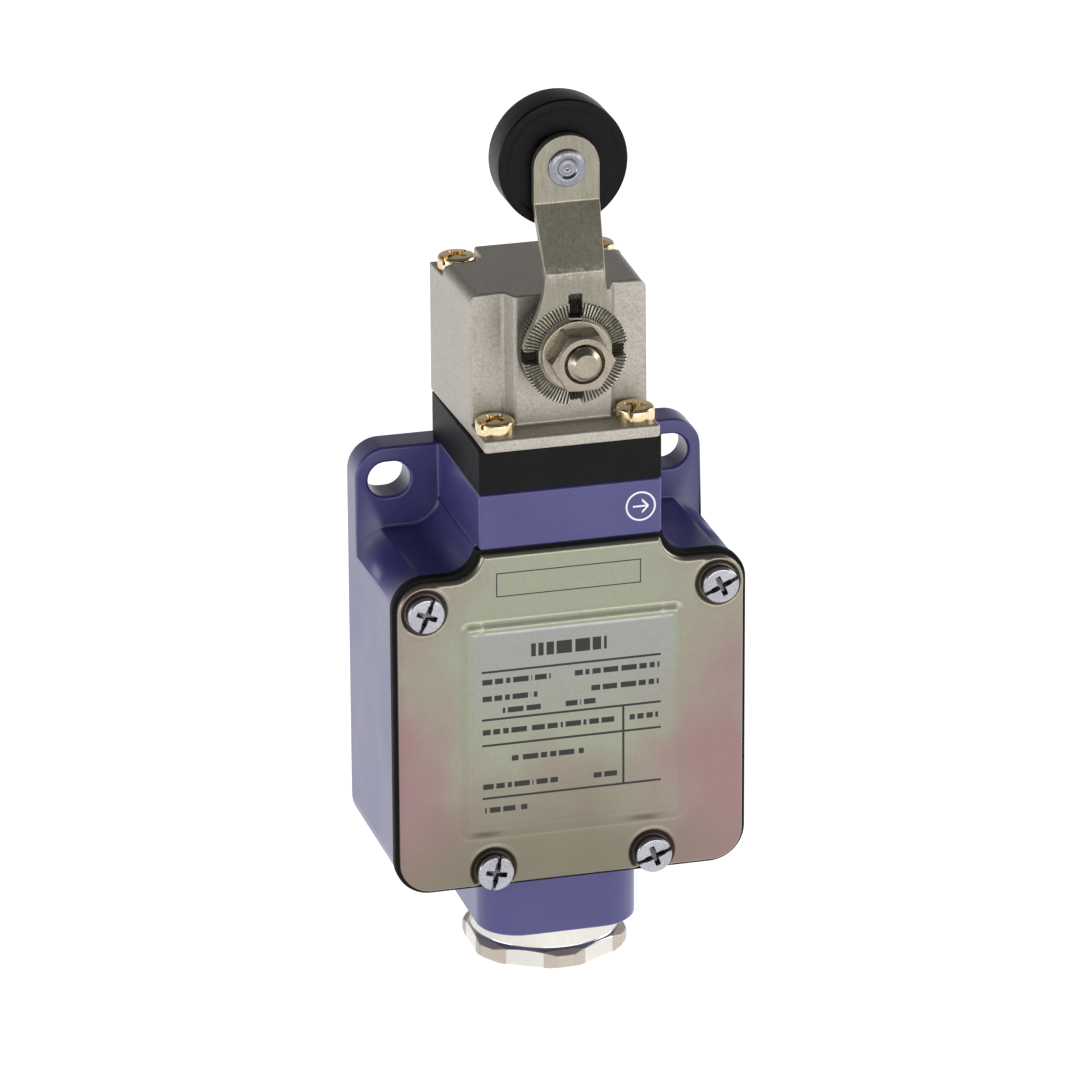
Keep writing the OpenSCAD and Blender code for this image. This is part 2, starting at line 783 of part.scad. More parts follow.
module serrated_hub() {
    color("dimgray") on_datum() difference() {
        union() {
            bar_y(hub_neck_r, hub_neck_back, lever_back - hub_disc_t + over, 0, shaft_h);
            bar_y(disc_r, lever_back - hub_disc_t, lever_back, 0, shaft_h);
        }
        bar_y(hub_seat_r + thread_gap, hub_neck_back - over, lever_back + over, 0, shaft_h);
    }
}

// Lever before bending, as a thick blank with the shaft's axis at the origin. From the disc to the
// waist its sides are hollow arcs that leave the disc almost along its own edge.
module lever_blank() {
    back = tab_back - over;
    front = lever_front + over;
    steps = 12;
    leave = atan(bend_low / (waist_half + flare_r));
    side = concat(
        [for (step = [0:steps]) let (turn = leave * (step / steps - 1))
            [waist_half + flare_r * (1 - cos(turn)), bend_low + flare_r * sin(turn)]],
        [[tab_r, bend_high], [tab_r, lever_length]]
    );
    last = len(side) - 1;
    bar_y(disc_r, back, front);
    bar_y(tab_r, back, front, 0, lever_length);
    layer(back, front) polygon(concat(side, [for (i = [0:last]) [-side[last - i][0], side[last - i][1]]]));
}

// Side profile of the lever's bent strip: Y across and height over the shaft's axis up
module lever_profile() {
    low = -disc_r - over;
    high = lever_length + tab_r + over;
    polygon([
        [-lever_front, low],
        [-lever_front, bend_low],
        [-tab_front, bend_high],
        [-tab_front, high],
        [-tab_back, high],
        [-tab_back, bend_high],
        [-lever_back, bend_low],
        [-lever_back, low]
    ]);
}

module lever_arm() {
    far = disc_r + over;
    color("darkgray") on_datum() translate([0, 0, shaft_h]) difference() {
        intersection() {
            union() lever_blank();
            translate([-far, 0, 0]) rotate([90, 0, 90]) linear_extrude(2 * far) lever_profile();
        }
        bar_y(stud_r + screw_gap, lever_back - over, lever_front + over, 0, 0);
        bar_y(axle_r + thread_gap, tab_back - over, tab_front + over, 0, lever_length);
        for (turn = [90, 180, 270]) {
            rotate([0, turn, 0]) block_from(-notch_w / 2, notch_w / 2, lever_back - over, lever_front + over,
                notch_inner_r, disc_r + over);
        }
        block_from(-notch_w / 2, notch_w / 2, lever_back - over, lever_front + over,
            notch_inner_r, top_notch_outer_r);
    }
}

module lever_washer() {
    color("silver") on_datum() difference() {
        bar_y(washer_r, lever_front, lever_front + washer_t, 0, shaft_h);
        bar_y(stud_r + screw_gap, lever_front - over, lever_front + washer_t + over, 0, shaft_h);
    }
}

module lever_nut() {
    chamfer = 0.4;
    half_across = nut_af / 2 / cos(30);
    color("silver") on_datum() translate([0, -nut_back, shaft_h]) rotate([90, 0, 0]) difference() {
        intersection() {
            cylinder(r = half_across, h = nut_t, $fn = 6);
            rotate_extrude() polygon([
                [0, 0],
                [half_across, 0],
                [half_across, nut_t - chamfer],
                [half_across - 2 * chamfer, nut_t],
                [0, nut_t]
            ]);
        }
        translate([0, 0, -over]) cylinder(r = stud_r + thread_gap, h = nut_t + 2 * over);
    }
}

// Rivet that holds the roller: flange behind it, shank through it and formed head in front of the lever
module roller_axle() {
    color("silver") on_datum() difference() {
        union() {
            bar_y(axle_flange_r, roller_back - 0.4 - axle_flange_t, roller_back - 0.4, 0, roller_h);
            bar_y(axle_r, roller_back - 0.4 - over / 2, tab_front + over / 4, 0, roller_h);
            bar_y(axle_head_r, tab_front, tab_front + axle_head_t, 0, roller_h);
        }
        bar_y(axle_recess_r, tab_front + axle_head_t / 4, tab_front + axle_head_t + over, 0, roller_h);
    }
}

module roller() {
    edge = 0.5;
    color("black") on_datum() translate([0, -roller_back, roller_h]) rotate([90, 0, 0])
        rotate_extrude() polygon([
            [axle_r + run_gap, 0],
            [roller_r - edge, 0],
            [roller_r, edge],
            [roller_r, roller_w - edge],
            [roller_r - edge, roller_w],
            [axle_r + run_gap, roller_w]
        ]);
}

module plunger() {
    color("silver") on_datum() union() {
        bar_z(plunger_r, stub_top_h + loose_gap, plunger_top_h - plunger_disc_t + over / 2);
        bar_z(plunger_disc_r, plunger_top_h - plunger_disc_t, plunger_top_h);
    }
}

// Sweeps a small round wire along a coil that runs up the Z axis from z = 0
module coil(r, wire_r, height, turns, steps) {
    sides = 6;
    rings = turns * steps;
    function place(ring, side) =
        let (turn = 360 * ring / steps, tilt = 360 * side / sides, reach = r + wire_r * cos(tilt))
        [reach * cos(turn), reach * sin(turn), height * ring / rings + wire_r * sin(tilt)];
    points = [for (ring = [0:rings]) for (side = [0:sides - 1]) place(ring, side)];
    walls = [for (ring = [0:rings - 1]) for (side = [0:sides - 1])
        [ring * sides + side, ring * sides + (side + 1) % sides,
            (ring + 1) * sides + (side + 1) % sides, (ring + 1) * sides + side]];
    ends = [
        [for (side = [0:sides - 1]) sides - 1 - side],
        [for (side = [0:sides - 1]) rings * sides + side]
    ];
    polyhedron(points, concat(walls, ends));
}

module return_spring() {
    low = collar_top_h + spring_wire_r + loose_gap;
    high = plunger_top_h - plunger_disc_t - spring_wire_r - loose_gap;
    color("silver") on_datum() translate([0, -plunger_y, low])
        coil(spring_r, spring_wire_r, high - low, spring_turns, spring_steps);
}

// Slide that carries the contact bridge: a body with a window, and a stub that the plunger pushes
module contact_carrier() {
    low = bay_bottom_h + plunger_travel + 0.3;
    color("firebrick") on_datum() union() {
        bar_z(stub_r, bay_top_h - 1.6 - over / 2, stub_top_h);
        difference() {
            block_from(-carrier_half, carrier_half, contact_y - 3, contact_y + 3, low, bay_top_h - 1.6);
            block_from(-carrier_half - over, carrier_half + over,
                contact_y - window_half, contact_y + window_half,
                bridge_h - 4, bridge_h + strip_t / 2 + 0.05);
        }
    }
}

module contact_bridge() {
    half_w = window_half - 0.1;
    color("goldenrod") on_datum() union() {
        block_from(-bridge_half, bridge_half, contact_y - half_w, contact_y + half_w,
            bridge_h - strip_t / 2, bridge_h + strip_t / 2);
        for (side = [-1, 1]) {
            bar_z(tip_r, bridge_h - strip_t / 2 - tip_t, bridge_h + strip_t / 2 + tip_t,
                side * contact_x, contact_y);
        }
    }
}

module bridge_spring() {
    wire = 0.15;
    low = bridge_h - 4 + 2 * wire;
    color("silver") on_datum() translate([0, -contact_y, low])
        coil(1, wire, bridge_h - strip_t / 2 - 2 * wire - low, 4, 12);
}

casing();
cover_gasket();
front_cover();
cover_screws();
gland_nut();
gland_washer();
gland_seal();
head_collar();
head_housing();
front_head_screws();
rear_head_screws();
plunger_guide();
plunger_seal();
shaft_bush();
contact_block();
contact_block_screws();
closed_contacts();
open_contacts();
terminal_clamps();
terminal_screws();
earth_clamp();
earth_screw();
operating_shaft();
shaft_seal();
serrated_hub();
lever_arm();
lever_washer();
lever_nut();
roller_axle();
roller();
plunger();
return_spring();
contact_carrier();
contact_bridge();
bridge_spring();
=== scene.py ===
# %% [markdown]
# A limit switch tells a machine where one of its moving parts is. A cam on the machine
# pushes the roller, the lever turns a shaft in the head, and contacts inside the casing
# snap over. The solids of the switch are already drawn and packed, so this lesson loads
# them as a fixed frame and dresses them: finer shapes where the eye needs them, and a
# finish for every part, worked out from nodes alone.

# %% Load the frame
import json
import math

import bmesh
import bpy
import numpy as np
from mathutils import Matrix, Vector


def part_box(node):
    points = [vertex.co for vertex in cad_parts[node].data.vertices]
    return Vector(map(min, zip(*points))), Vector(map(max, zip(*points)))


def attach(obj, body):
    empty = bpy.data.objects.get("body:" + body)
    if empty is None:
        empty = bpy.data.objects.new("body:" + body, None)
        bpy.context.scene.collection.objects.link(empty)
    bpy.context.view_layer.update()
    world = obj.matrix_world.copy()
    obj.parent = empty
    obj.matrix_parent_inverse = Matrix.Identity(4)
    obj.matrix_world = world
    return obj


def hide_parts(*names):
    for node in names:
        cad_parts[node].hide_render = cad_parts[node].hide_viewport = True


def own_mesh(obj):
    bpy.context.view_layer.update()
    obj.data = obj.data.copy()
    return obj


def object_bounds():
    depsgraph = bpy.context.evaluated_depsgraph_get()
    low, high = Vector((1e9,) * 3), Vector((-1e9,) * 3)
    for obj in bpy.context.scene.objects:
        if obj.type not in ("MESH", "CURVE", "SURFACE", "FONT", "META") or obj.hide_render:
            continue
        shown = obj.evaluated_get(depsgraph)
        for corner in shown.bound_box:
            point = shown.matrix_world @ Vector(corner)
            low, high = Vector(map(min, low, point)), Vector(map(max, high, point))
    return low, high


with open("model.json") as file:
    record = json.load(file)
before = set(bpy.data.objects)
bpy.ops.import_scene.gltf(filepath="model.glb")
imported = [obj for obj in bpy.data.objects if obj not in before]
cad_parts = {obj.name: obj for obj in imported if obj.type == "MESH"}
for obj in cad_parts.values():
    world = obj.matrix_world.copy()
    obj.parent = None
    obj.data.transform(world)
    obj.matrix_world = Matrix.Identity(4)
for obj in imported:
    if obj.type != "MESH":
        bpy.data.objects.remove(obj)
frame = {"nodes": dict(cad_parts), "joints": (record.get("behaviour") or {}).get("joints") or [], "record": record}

MM = 0.001
cad_low, cad_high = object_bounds()
print("the solids fill", [round(1000 * side, 1) for side in cad_high - cad_low], "mm")


# %% [markdown]
# Where a piece goes is read from the solids: a node's box gives its lowest and highest
# corners, and the packed record gives the axes of the joints. The sizes of the details that
# only the finer meshes have are given beside them. Everything below is worked out in
# millimetres, because the parts are small, and turned to metres at the end.

# %% Where things are
def box_mm(node):
    """Lowest and highest corner of a node's box, in millimetres."""
    low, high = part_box(node)
    return np.array(low) / MM, np.array(high) / MM


joint_at = {joint["name"]: np.array(joint.get("pos_m", (0, 0, 0))) / MM
            for joint in frame["joints"]}
SHAFT_Z = joint_at["lever_rotation"][2]
ROLLER_Z = joint_at["roller_spin"][2]
CASING_LOW, CASING_HIGH = box_mm("casing")
COVER_LOW, COVER_HIGH = box_mm("front_cover")
GASKET_LOW = box_mm("cover_gasket")[0]
print("shaft at", SHAFT_Z, "mm and roller at", ROLLER_Z, "mm above the fixing slots")


# %% [markdown]
# The camera is a long lens a metre away, a little to the left of the switch and above it,
# as in a catalogue. A long lens keeps parallel edges nearly parallel. The aim is given from
# the middle of the solids, and a roll of a third of a degree levels the picture.

# %% Camera
AZIMUTH, PITCH, ROLL = map(math.radians, (15.212, 21.132, -0.322))
centre = (cad_low + cad_high) / 2
aim = centre + Vector((-2.2, -0.9, -1.2)) * MM
forward = Vector((math.sin(AZIMUTH) * math.cos(PITCH),
                  math.cos(AZIMUTH) * math.cos(PITCH),
                  -math.sin(PITCH)))
level_right = forward.cross(Vector((0, 0, 1))).normalized()
level_up = level_right.cross(forward)
right = level_right * math.cos(ROLL) + level_up * math.sin(ROLL)
up = level_up * math.cos(ROLL) - level_right * math.sin(ROLL)
DISTANCE = 1.092

lens = bpy.data.cameras.new("camera")
lens.lens, lens.sensor_width = 252.0, 36.0
lens.clip_start, lens.clip_end = 0.05, 50.0
camera = bpy.data.objects.new("camera", lens)
bpy.context.scene.collection.objects.link(camera)
camera.matrix_world = Matrix.LocRotScale(
    aim - forward * DISTANCE, Matrix((right, up, -forward)).transposed(), None)
bpy.context.scene.camera = camera
print("camera at", [round(value, 3) for value in camera.location])


# %% [markdown]
# Shader trees are easier to read as sums than as boxes and wires. The class below wraps
# one socket, so that `grain * 0.2 + 0.4` adds the two Math nodes it stands for. Its method
# `node` makes any other node from its settings and the values of its sockets.

# %% Shader sums
class Wire:
    """One output socket of a shader tree, which can be used in Python expressions."""

    def __init__(self, tree, socket=None):
        self.tree, self.socket = tree, socket

    def node(self, kind, values=None, out=0, stops=None, **settings):
        made = self.tree.nodes.new("ShaderNode" + kind)
        for name, value in settings.items():
            setattr(made, name, value)
        if stops:
            ramp = made.color_ramp
            while len(ramp.elements) < len(stops):
                ramp.elements.new(0.5)
            for element, (place, colour) in zip(ramp.elements, stops):
                element.position, element.color = place, colour
        for name, value in (values or {}).items():
            if isinstance(value, Wire):
                self.tree.links.new(value.socket, made.inputs[name])
            else:
                made.inputs[name].default_value = value
        return Wire(self.tree, made.outputs[out]) if len(made.outputs) else None

    def maths(self, operation, *values):
        return self.node("Math", dict(enumerate(values)), operation=operation)

    def __add__(self, other):
        return self.maths("ADD", self, other)

    def __radd__(self, other):
        return self.maths("ADD", other, self)

    def __sub__(self, other):
        return self.maths("SUBTRACT", self, other)

    def __rsub__(self, other):
        return self.maths("SUBTRACT", other, self)

    def __mul__(self, other):
        return self.maths("MULTIPLY", self, other)

    def __rmul__(self, other):
        return self.maths("MULTIPLY", other, self)

    def __truediv__(self, other):
        return self.maths("DIVIDE", self, other)

    def __lt__(self, other):
        return self.maths("LESS_THAN", self, other)

    def __gt__(self, other):
        return self.maths("GREATER_THAN", self, other)

    def __abs__(self):
        return self.maths("ABSOLUTE", self)


def blend_colours(share, first, second):
    """Colour between first and second: share 0 gives the first and 1 the second."""
    return share.node("Mix", {0: share, 6: first, 7: second}, out=2, data_type="RGBA")


def rgb(red, green, blue):
    """Colour given as it looks on a screen, from 0 to 255, as the linear light it stands for."""
    seen = np.array((red, green, blue)) / 255
    linear = np.where(seen > 0.04045, ((seen + 0.055) / 1.055) ** 2.4, seen / 12.92)
    return (*map(float, linear), 1.0)


# %% [markdown]
# Every finish here starts the same way: Object coordinates in millimetres, and a
# Principled shader. `Finish` holds both. Its `noise` is a cloudy pattern with features of a
# given size, and `close` wires what varies over the surface and sets what doesn't.

# %% A finish
class Finish:
    """Material under construction, with the place on the part in millimetres."""

    def __init__(self, name):
        self.material = bpy.data.materials.new(name)
        self.material.use_nodes = True
        self.tree = self.material.node_tree
        self.tree.nodes.clear()
        start = Wire(self.tree)
        self.at = start.node("TexCoord", out=3)
        self.mm = self.at.node("VectorMath", {0: self.at, 3: 1000.0}, operation="SCALE")
        self.x, self.y, self.z = (
            self.mm.node("SeparateXYZ", {0: self.mm}, out=axis) for axis in range(3))

    def noise(self, size, detail=3.0, rough=0.55, stretch=(1, 1, 1)):
        """Soft clouds between 0 and 1, with features about `size` millimetres across."""
        scaled = self.mm.node("Mapping", {0: self.mm, 3: tuple(1 / (size * s) for s in stretch)})
        return scaled.node("TexNoise", {"Vector": scaled, "Scale": 1.0, "Detail": detail,
                                        "Roughness": rough})

    def spread(self, value, low, high, to_low=0.0, to_high=1.0):
        """Stretches a value from low..high to to_low..to_high, and holds it there."""
        return value.node("MapRange", {0: value, 1: low, 2: high, 3: to_low, 4: to_high})

    def close(self, colour, rough, height=None, depth=0.1, constants=None, metallic=None):
        """Adds the shader. `height` is a relief of `depth` millimetres for the Bump node."""
        values = {"Base Color": colour, "Roughness": rough}
        if metallic is not None:
            values["Metallic"] = metallic
        if height is not None:
            values["Normal"] = height.node("Bump", {
                "Strength": 1.0, "Distance": depth * MM, "Height": height})
        values.update(constants or {})
        shader = self.at.node("BsdfPrincipled", values)
        shader.node("OutputMaterial", {"Surface": shader})
        return self.material


print("finishes are built from", [name for name in vars(Wire) if name in ("node", "maths")])


# %% [markdown]
# A product picture of bright metal is mostly a picture of what the metal reflects. From
# this height the upright faces reflect the floor in front of the switch, and the flat tops
# reflect what hangs over it. A white floor and a dim ceiling therefore give bright fronts
# and dark tops, and low soft panels on three sides draw the highlights along the edges.
#
# The picture is shown without a film curve, so that white stays white and the paint keeps
# its strength, as it does in a printed catalogue.

# %% Floor, ceiling and lights
bpy.context.scene.view_settings.view_transform = "Standard"
FLOOR_Z = cad_low.z
bpy.ops.mesh.primitive_plane_add(size=14, location=(0, 0, FLOOR_Z))
floor = bpy.context.object
floor.name = "studio_floor"
paint = Finish("studio_floor")
cloud = paint.noise(400.0)
floor.data.materials.append(paint.close(
    blend_colours(cloud, rgb(244, 244, 244), rgb(247, 247, 247)), 0.9 + 0.05 * cloud,
    constants={"Emission Color": (1, 1, 1, 1), "Emission Strength": 0.85,
               "Specular IOR Level": 0.1}))


def panel(name, place, size, watts, tint=(1, 1, 1)):
    """Rectangular soft light at `place` in metres from the middle, facing the middle."""
    light = bpy.data.lights.new(name, "AREA")
    light.shape, light.size, light.size_y = "RECTANGLE", *size
    light.energy, light.color = watts, tint
    lamp = bpy.data.objects.new(name, light)
    bpy.context.scene.collection.objects.link(lamp)
    lamp.location = centre + Vector(place)
    lamp.rotation_euler = (-Vector(place)).to_track_quat("-Z", "Y").to_euler()
    return lamp


lamps = [
    panel("front_light", (0.4, -1.7, 0.2), (2.4, 0.5), 10),
    panel("right_light", (1.5, 0.1, 0.6), (0.9, 0.9), 9),
    panel("left_light", (-1.6, -0.2, 0.15), (1.0, 0.7), 7, (0.95, 0.97, 1.0)),
]
world = bpy.data.worlds.new("studio")
bpy.context.scene.world = world
world.use_nodes = True
sky = Wire(world.node_tree)
world.node_tree.nodes.clear()
upward = sky.node("SeparateXYZ", {0: sky.node("TexCoord", out=0)}, out=2)
glow = upward.node("MapRange", {0: upward, 1: 0.0, 2: 0.6, 3: 0.7, 4: 0.1})
air = glow.node("Background", {"Color": (1, 1, 1, 1), "Strength": glow})
air.node("OutputWorld", {"Surface": air})
print("studio has", len(lamps), "lights over a floor at", round(FLOOR_Z / MM, 1), "mm")


# %% [markdown]
# Two kinds of mesh follow. Cast and moulded bodies keep the outline of their solid: a copy
# is merged, its flat faces are joined up, and a Bevel rounds every sharp edge, because no
# cast edge is sharp. Turned, pressed and threaded parts are new surfaces, points worked
# out on a grid of two parameters and joined into four-cornered faces.

# %% Meshes from grids
def new_object(name, points, faces, body, node, slot, material, smooth=32):
    """Object from points in millimetres, riding on a body and standing for a CAD node."""
    mesh = bpy.data.meshes.new(name)
    mesh.from_pydata(np.asarray(points, float) * MM, [],
                     faces if isinstance(faces, list) else faces.tolist())
    work = bmesh.new()
    work.from_mesh(mesh)
    bmesh.ops.remove_doubles(work, verts=work.verts, dist=2e-7)
    bmesh.ops.dissolve_degenerate(work, edges=work.edges, dist=1e-7)
    bmesh.ops.recalc_face_normals(work, faces=work.faces)
    work.to_mesh(mesh)
    work.free()
    made = bpy.data.objects.new(name, mesh)
    bpy.context.scene.collection.objects.link(made)
    mesh.shade_smooth()
    mesh.set_sharp_from_angle(angle=math.radians(smooth))
    mesh.materials.append(material)
    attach(made, body)
    if node:
        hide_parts(node)
    print(f"{name}: {len(mesh.polygons)} faces")
    return made


def grid_faces(rows, columns, wrap=True, start=0):
    """Corner numbers of the quads of a grid of points, numbered row by row.

    With `wrap`, the last column joins the first, as round a tube.
    """
    row, column = np.meshgrid(
        np.arange(rows - 1), np.arange(columns if wrap else columns - 1), indexing="ij")
    after = (column + 1) % columns
    quads = np.stack([row * columns + column, row * columns + after,
                      (row + 1) * columns + after, (row + 1) * columns + column], axis=-1)
    return start + quads.reshape(-1, 4)


def gather(parts):
    """Joins (points, faces) pairs into one pair."""
    points, faces, count = [], [], 0
    for some_points, some_faces in parts:
        points.append(some_points)
        faces.append(some_faces + count)
        count += len(some_points)
    return np.concatenate(points), np.concatenate(faces)


def place_y(flat, x, y, z):
    """Turns points drawn as (across, up, out) so that `out` runs to the front, along -Y."""
    across, upward, out = flat[..., 0], flat[..., 1], flat[..., 2]
    return np.stack([x + across, y - out, z + upward], axis=-1)


def rounded(profile, radius=0.2, steps=4):
    """Profile with each inner corner replaced by an arc of that radius, where it fits.

    A corner turns between two straight runs. The arc is a quadratic curve from the point
    `radius` before the corner to the point `radius` after it, with the corner as its pull.
    """
    profile = np.asarray(profile, float)
    out = [profile[0]]
    t = np.linspace(0, 1, steps + 1)[:, None]
    for before, corner, after in zip(profile[:-2], profile[1:-1], profile[2:]):
        to_before, to_after = before - corner, after - corner
        reach = min(radius, 0.45 * np.hypot(*to_before), 0.45 * np.hypot(*to_after))
        first = corner + to_before / np.hypot(*to_before) * reach
        last = corner + to_after / np.hypot(*to_after) * reach
        out.extend((1 - t) ** 2 * first + 2 * t * (1 - t) * corner + t ** 2 * last)
    out.append(profile[-1])
    return np.array(out)


def turned(profile, sides=96):
    """Surface of revolution: a profile of (radius, out) carried round a circle."""
    turn = np.linspace(0, 2 * np.pi, sides, endpoint=False)
    radius, out = np.asarray(profile, float).T
    points = np.stack([radius[:, None] * np.cos(turn), radius[:, None] * np.sin(turn),
                       np.repeat(out[:, None], sides, 1)], axis=-1)
    return points.reshape(-1, 3), grid_faces(len(radius), sides)


# %% Bodies that keep their solid's outline
def weigh_edges(mesh, weigh, angle):
    """Gives each sharp edge the bevel weight that `weigh` works out from its two ends."""
    work = bmesh.new()
    work.from_mesh(mesh)
    weight = work.edges.layers.float.new("bevel_weight_edge")
    for edge in work.edges:
        if edge.calc_face_angle(0.0) > angle:
            first, last = (np.array(corner.co) / MM for corner in edge.verts)
            edge[weight] = weigh(first, last)
    work.to_mesh(mesh)
    work.free()


def softened(node, name, width, material, slot, body="switch_body", segments=3, angle=28,
             weigh=None):
    """Merged copy of a CAD node whose sharp edges a Bevel of `width` millimetres rounds.

    `weigh`, if given, is the share of that width for an edge, worked out from its two ends.
    """
    source = frame["nodes"][node].data
    corners = np.empty(len(source.vertices) * 3)
    source.vertices.foreach_get("co", corners)
    triangles = np.empty(len(source.loops), int)
    source.loops.foreach_get("vertex_index", triangles)
    whole, index = np.unique(
        np.round(corners.reshape(-1, 3) / MM, 4), axis=0, return_inverse=True)
    triangles = index.reshape(-1)[triangles].reshape(-1, 3)
    distinct = ((triangles[:, 0] != triangles[:, 1]) & (triangles[:, 1] != triangles[:, 2])
                & (triangles[:, 2] != triangles[:, 0]))
    made = new_object(name, whole, triangles[distinct], body, node, slot, material)
    work = bmesh.new()
    work.from_mesh(made.data)
    bmesh.ops.dissolve_limit(work, angle_limit=math.radians(1.0), verts=work.verts,
                             edges=work.edges)
    work.to_mesh(made.data)
    work.free()
    made.data.shade_smooth()
    edges = made.modifiers.new("rounded_edges", "BEVEL")
    edges.width, edges.segments = width * MM, segments
    edges.limit_method, edges.angle_limit = "ANGLE", math.radians(angle)
    if weigh:
        weigh_edges(made.data, weigh, math.radians(angle))
        edges.limit_method = "WEIGHT"
    edges.use_clamp_overlap = False
    edges.miter_outer = "MITER_ARC"
    normals = made.modifiers.new("even_shading", "WEIGHTED_NORMAL")
    normals.weight = 60
    return made


# %% [markdown]
# The casing is die-cast alloy under a satin blue-violet paint. Spray paint isn't flat: it
# dries with a shallow orange-peel surface about a millimetre from crest to crest, a little
# lighter where it is thin. The circled arrow on the neck shows which way the head faces.

# %% Casing paint
def ring_and_arrow(finish, x, z, radius):
    """Mask of a circled arrow: 1 on the ring, the shaft and the two strokes of the tip."""
    across, height = finish.x - x, finish.z - z
    away = across.maths("SQRT", across * across + height * height)
    stroke = 0.06 * radius
    ring = abs(away - (radius - stroke)) < stroke
    shaft = (abs(height) < stroke) * (abs(across) < 0.52 * radius)
    back = 0.5 * radius - across
    tip = (abs(abs(height) - back) < stroke * 1.45) * (back < 0.42 * radius) * (back > -0.02)
    return ring.maths("MAXIMUM", ring.maths("MAXIMUM", ring, shaft), tip)


def casing_paint():
    finish = Finish("casing_paint")
    peel = finish.noise(0.9, 2.0)
    speck = finish.noise(0.22, 4.0, 0.7)
    patch = finish.noise(14.0, 2.0)
    tone = finish.spread(speck * 0.6 + patch * 0.4, 0.35, 0.65)
    paint = blend_colours(tone, rgb(52, 48, 110), rgb(66, 63, 126))
    neck_x, neck_z = 10.4, CASING_HIGH[2] - 4.1
    mark = ring_and_arrow(finish, neck_x, neck_z, 2.25) * (finish.y < CASING_LOW[1] + 0.12)
    colour = blend_colours(mark, paint, rgb(238, 238, 245))
    rough = finish.spread(patch, 0.3, 0.7, 0.27, 0.36) + 0.05 * speck
    return finish.close(colour, rough, peel * 0.7 + speck * 0.3, 0.035,
                        {"Specular IOR Level": 0.6, "Coat Weight": 0.25, "Coat Roughness": 0.2})


EAR_DEPTH, ARC_INNER_X, ARC_TOP_Z = 5.5, 22.0, -7.0


def casing_edge(first, last):
    """0 on the hollow arc where an ear meets the round shoulder, which is too shallow, else 1."""
    ends = np.abs([first, last])
    on_ear = np.ptp(ends[:, 1]) < 0.01 and abs(ends[0, 1] - EAR_DEPTH) < 0.01
    near_side = ARC_INNER_X < ends[:, 0].min() < CASING_HIGH[0] - 0.05
    return 0.0 if on_ear and near_side and first[2] < ARC_TOP_Z else 1.0


PAINT = casing_paint()
softened("casing", "casing_painted", 0.45, PAINT, "casing_paint", weigh=casing_edge)


# %% [markdown]
# Between casing and cover lies a rubber gasket that stands out by a hair all round, and on
# top of the neck a black collar with the grain of a moulded plastic part.

# %% Gasket and collar
def black_grain(name, low, high, grain, rough, depth):
    """Near-black plastic or rubber: a fine grain that varies its tone, gloss and relief."""
    finish = Finish(name)
    fine = finish.noise(grain, 4.0, 0.7)
    broad = finish.noise(grain * 25, 2.0)
    tone = finish.spread(fine * 0.7 + broad * 0.3, 0.35, 0.65)
    return finish.close(blend_colours(tone, rgb(*low), rgb(*high)),
                        finish.spread(fine, 0.3, 0.7, *rough), fine, depth,
                        {"Specular IOR Level": 0.14})


RUBBER = black_grain("gasket_rubber", (10, 10, 10), (26, 25, 25), 0.35, (0.55, 0.8), 0.05)
COLLAR = black_grain("collar_plastic", (4, 4, 5), (20, 18, 21), 0.28, (0.42, 0.62), 0.03)
softened("cover_gasket", "gasket_rubber_edge", 0.25, RUBBER, "gasket_rubber")
softened("head_collar", "collar_moulding", 0.3, COLLAR, "collar_plastic")


# %% [markdown]
# The cover is pressed from thin steel: its rim is rolled over, a label panel stands up
# behind a sloped border, and each screw sits in a dished seat. All of that is height over
# one sheet. The sheet's outline can be crossed by upright lines that each enter and leave
# once, so a column of points at every x, spread between the lower and the upper edge,
# covers it without a gap.

# %% Outline of the cover
neck_half = box_mm("head_collar")[1][0]
INSET = CASING_HIGH[0] - COVER_HIGH[0]
TONGUE_TOP, COVER_BOTTOM = COVER_HIGH[2], COVER_LOW[2]
HALF = COVER_HIGH[0]
LOWER_R, UPPER_R, FILLET_R = 4.7, 4.3, 4.3
SHOULDER_Z = CASING_HIGH[2] - 12.4 - INSET
screw_low, screw_high = box_mm("cover_screws")
HEAD_R = 2.7
SCREW_AT = np.array([
    (screw_low[0] + HEAD_R, screw_high[2] - HEAD_R), (screw_high[0] - HEAD_R, screw_high[2] - HEAD_R),
    (-11.95, screw_low[2] + HEAD_R), (11.95, screw_low[2] + HEAD_R)])


def lower_edge(x):
    """Height of the cover's lower edge: straight, with a quarter circle at each corner."""
    into = np.clip(np.abs(x) - (HALF - LOWER_R), 0, LOWER_R)
    return COVER_BOTTOM + LOWER_R - np.sqrt(np.maximum(LOWER_R ** 2 - into ** 2, 0))


def upper_edge(x):
    """Height of the upper edge: tongue, hollow quarter circle, shoulder and round corner."""
    x = np.abs(x)
    into = np.clip(x - (HALF - UPPER_R), 0, UPPER_R)
    shoulder = SHOULDER_Z - UPPER_R + np.sqrt(np.maximum(UPPER_R ** 2 - into ** 2, 0))
    hollow_x = neck_half - INSET + FILLET_R
    across = np.clip(hollow_x - x, 0, FILLET_R)
    hollow = SHOULDER_Z + FILLET_R - np.sqrt(np.maximum(FILLET_R ** 2 - across ** 2, 0))
    return np.minimum(np.where(x > hollow_x, shoulder, hollow), TONGUE_TOP)


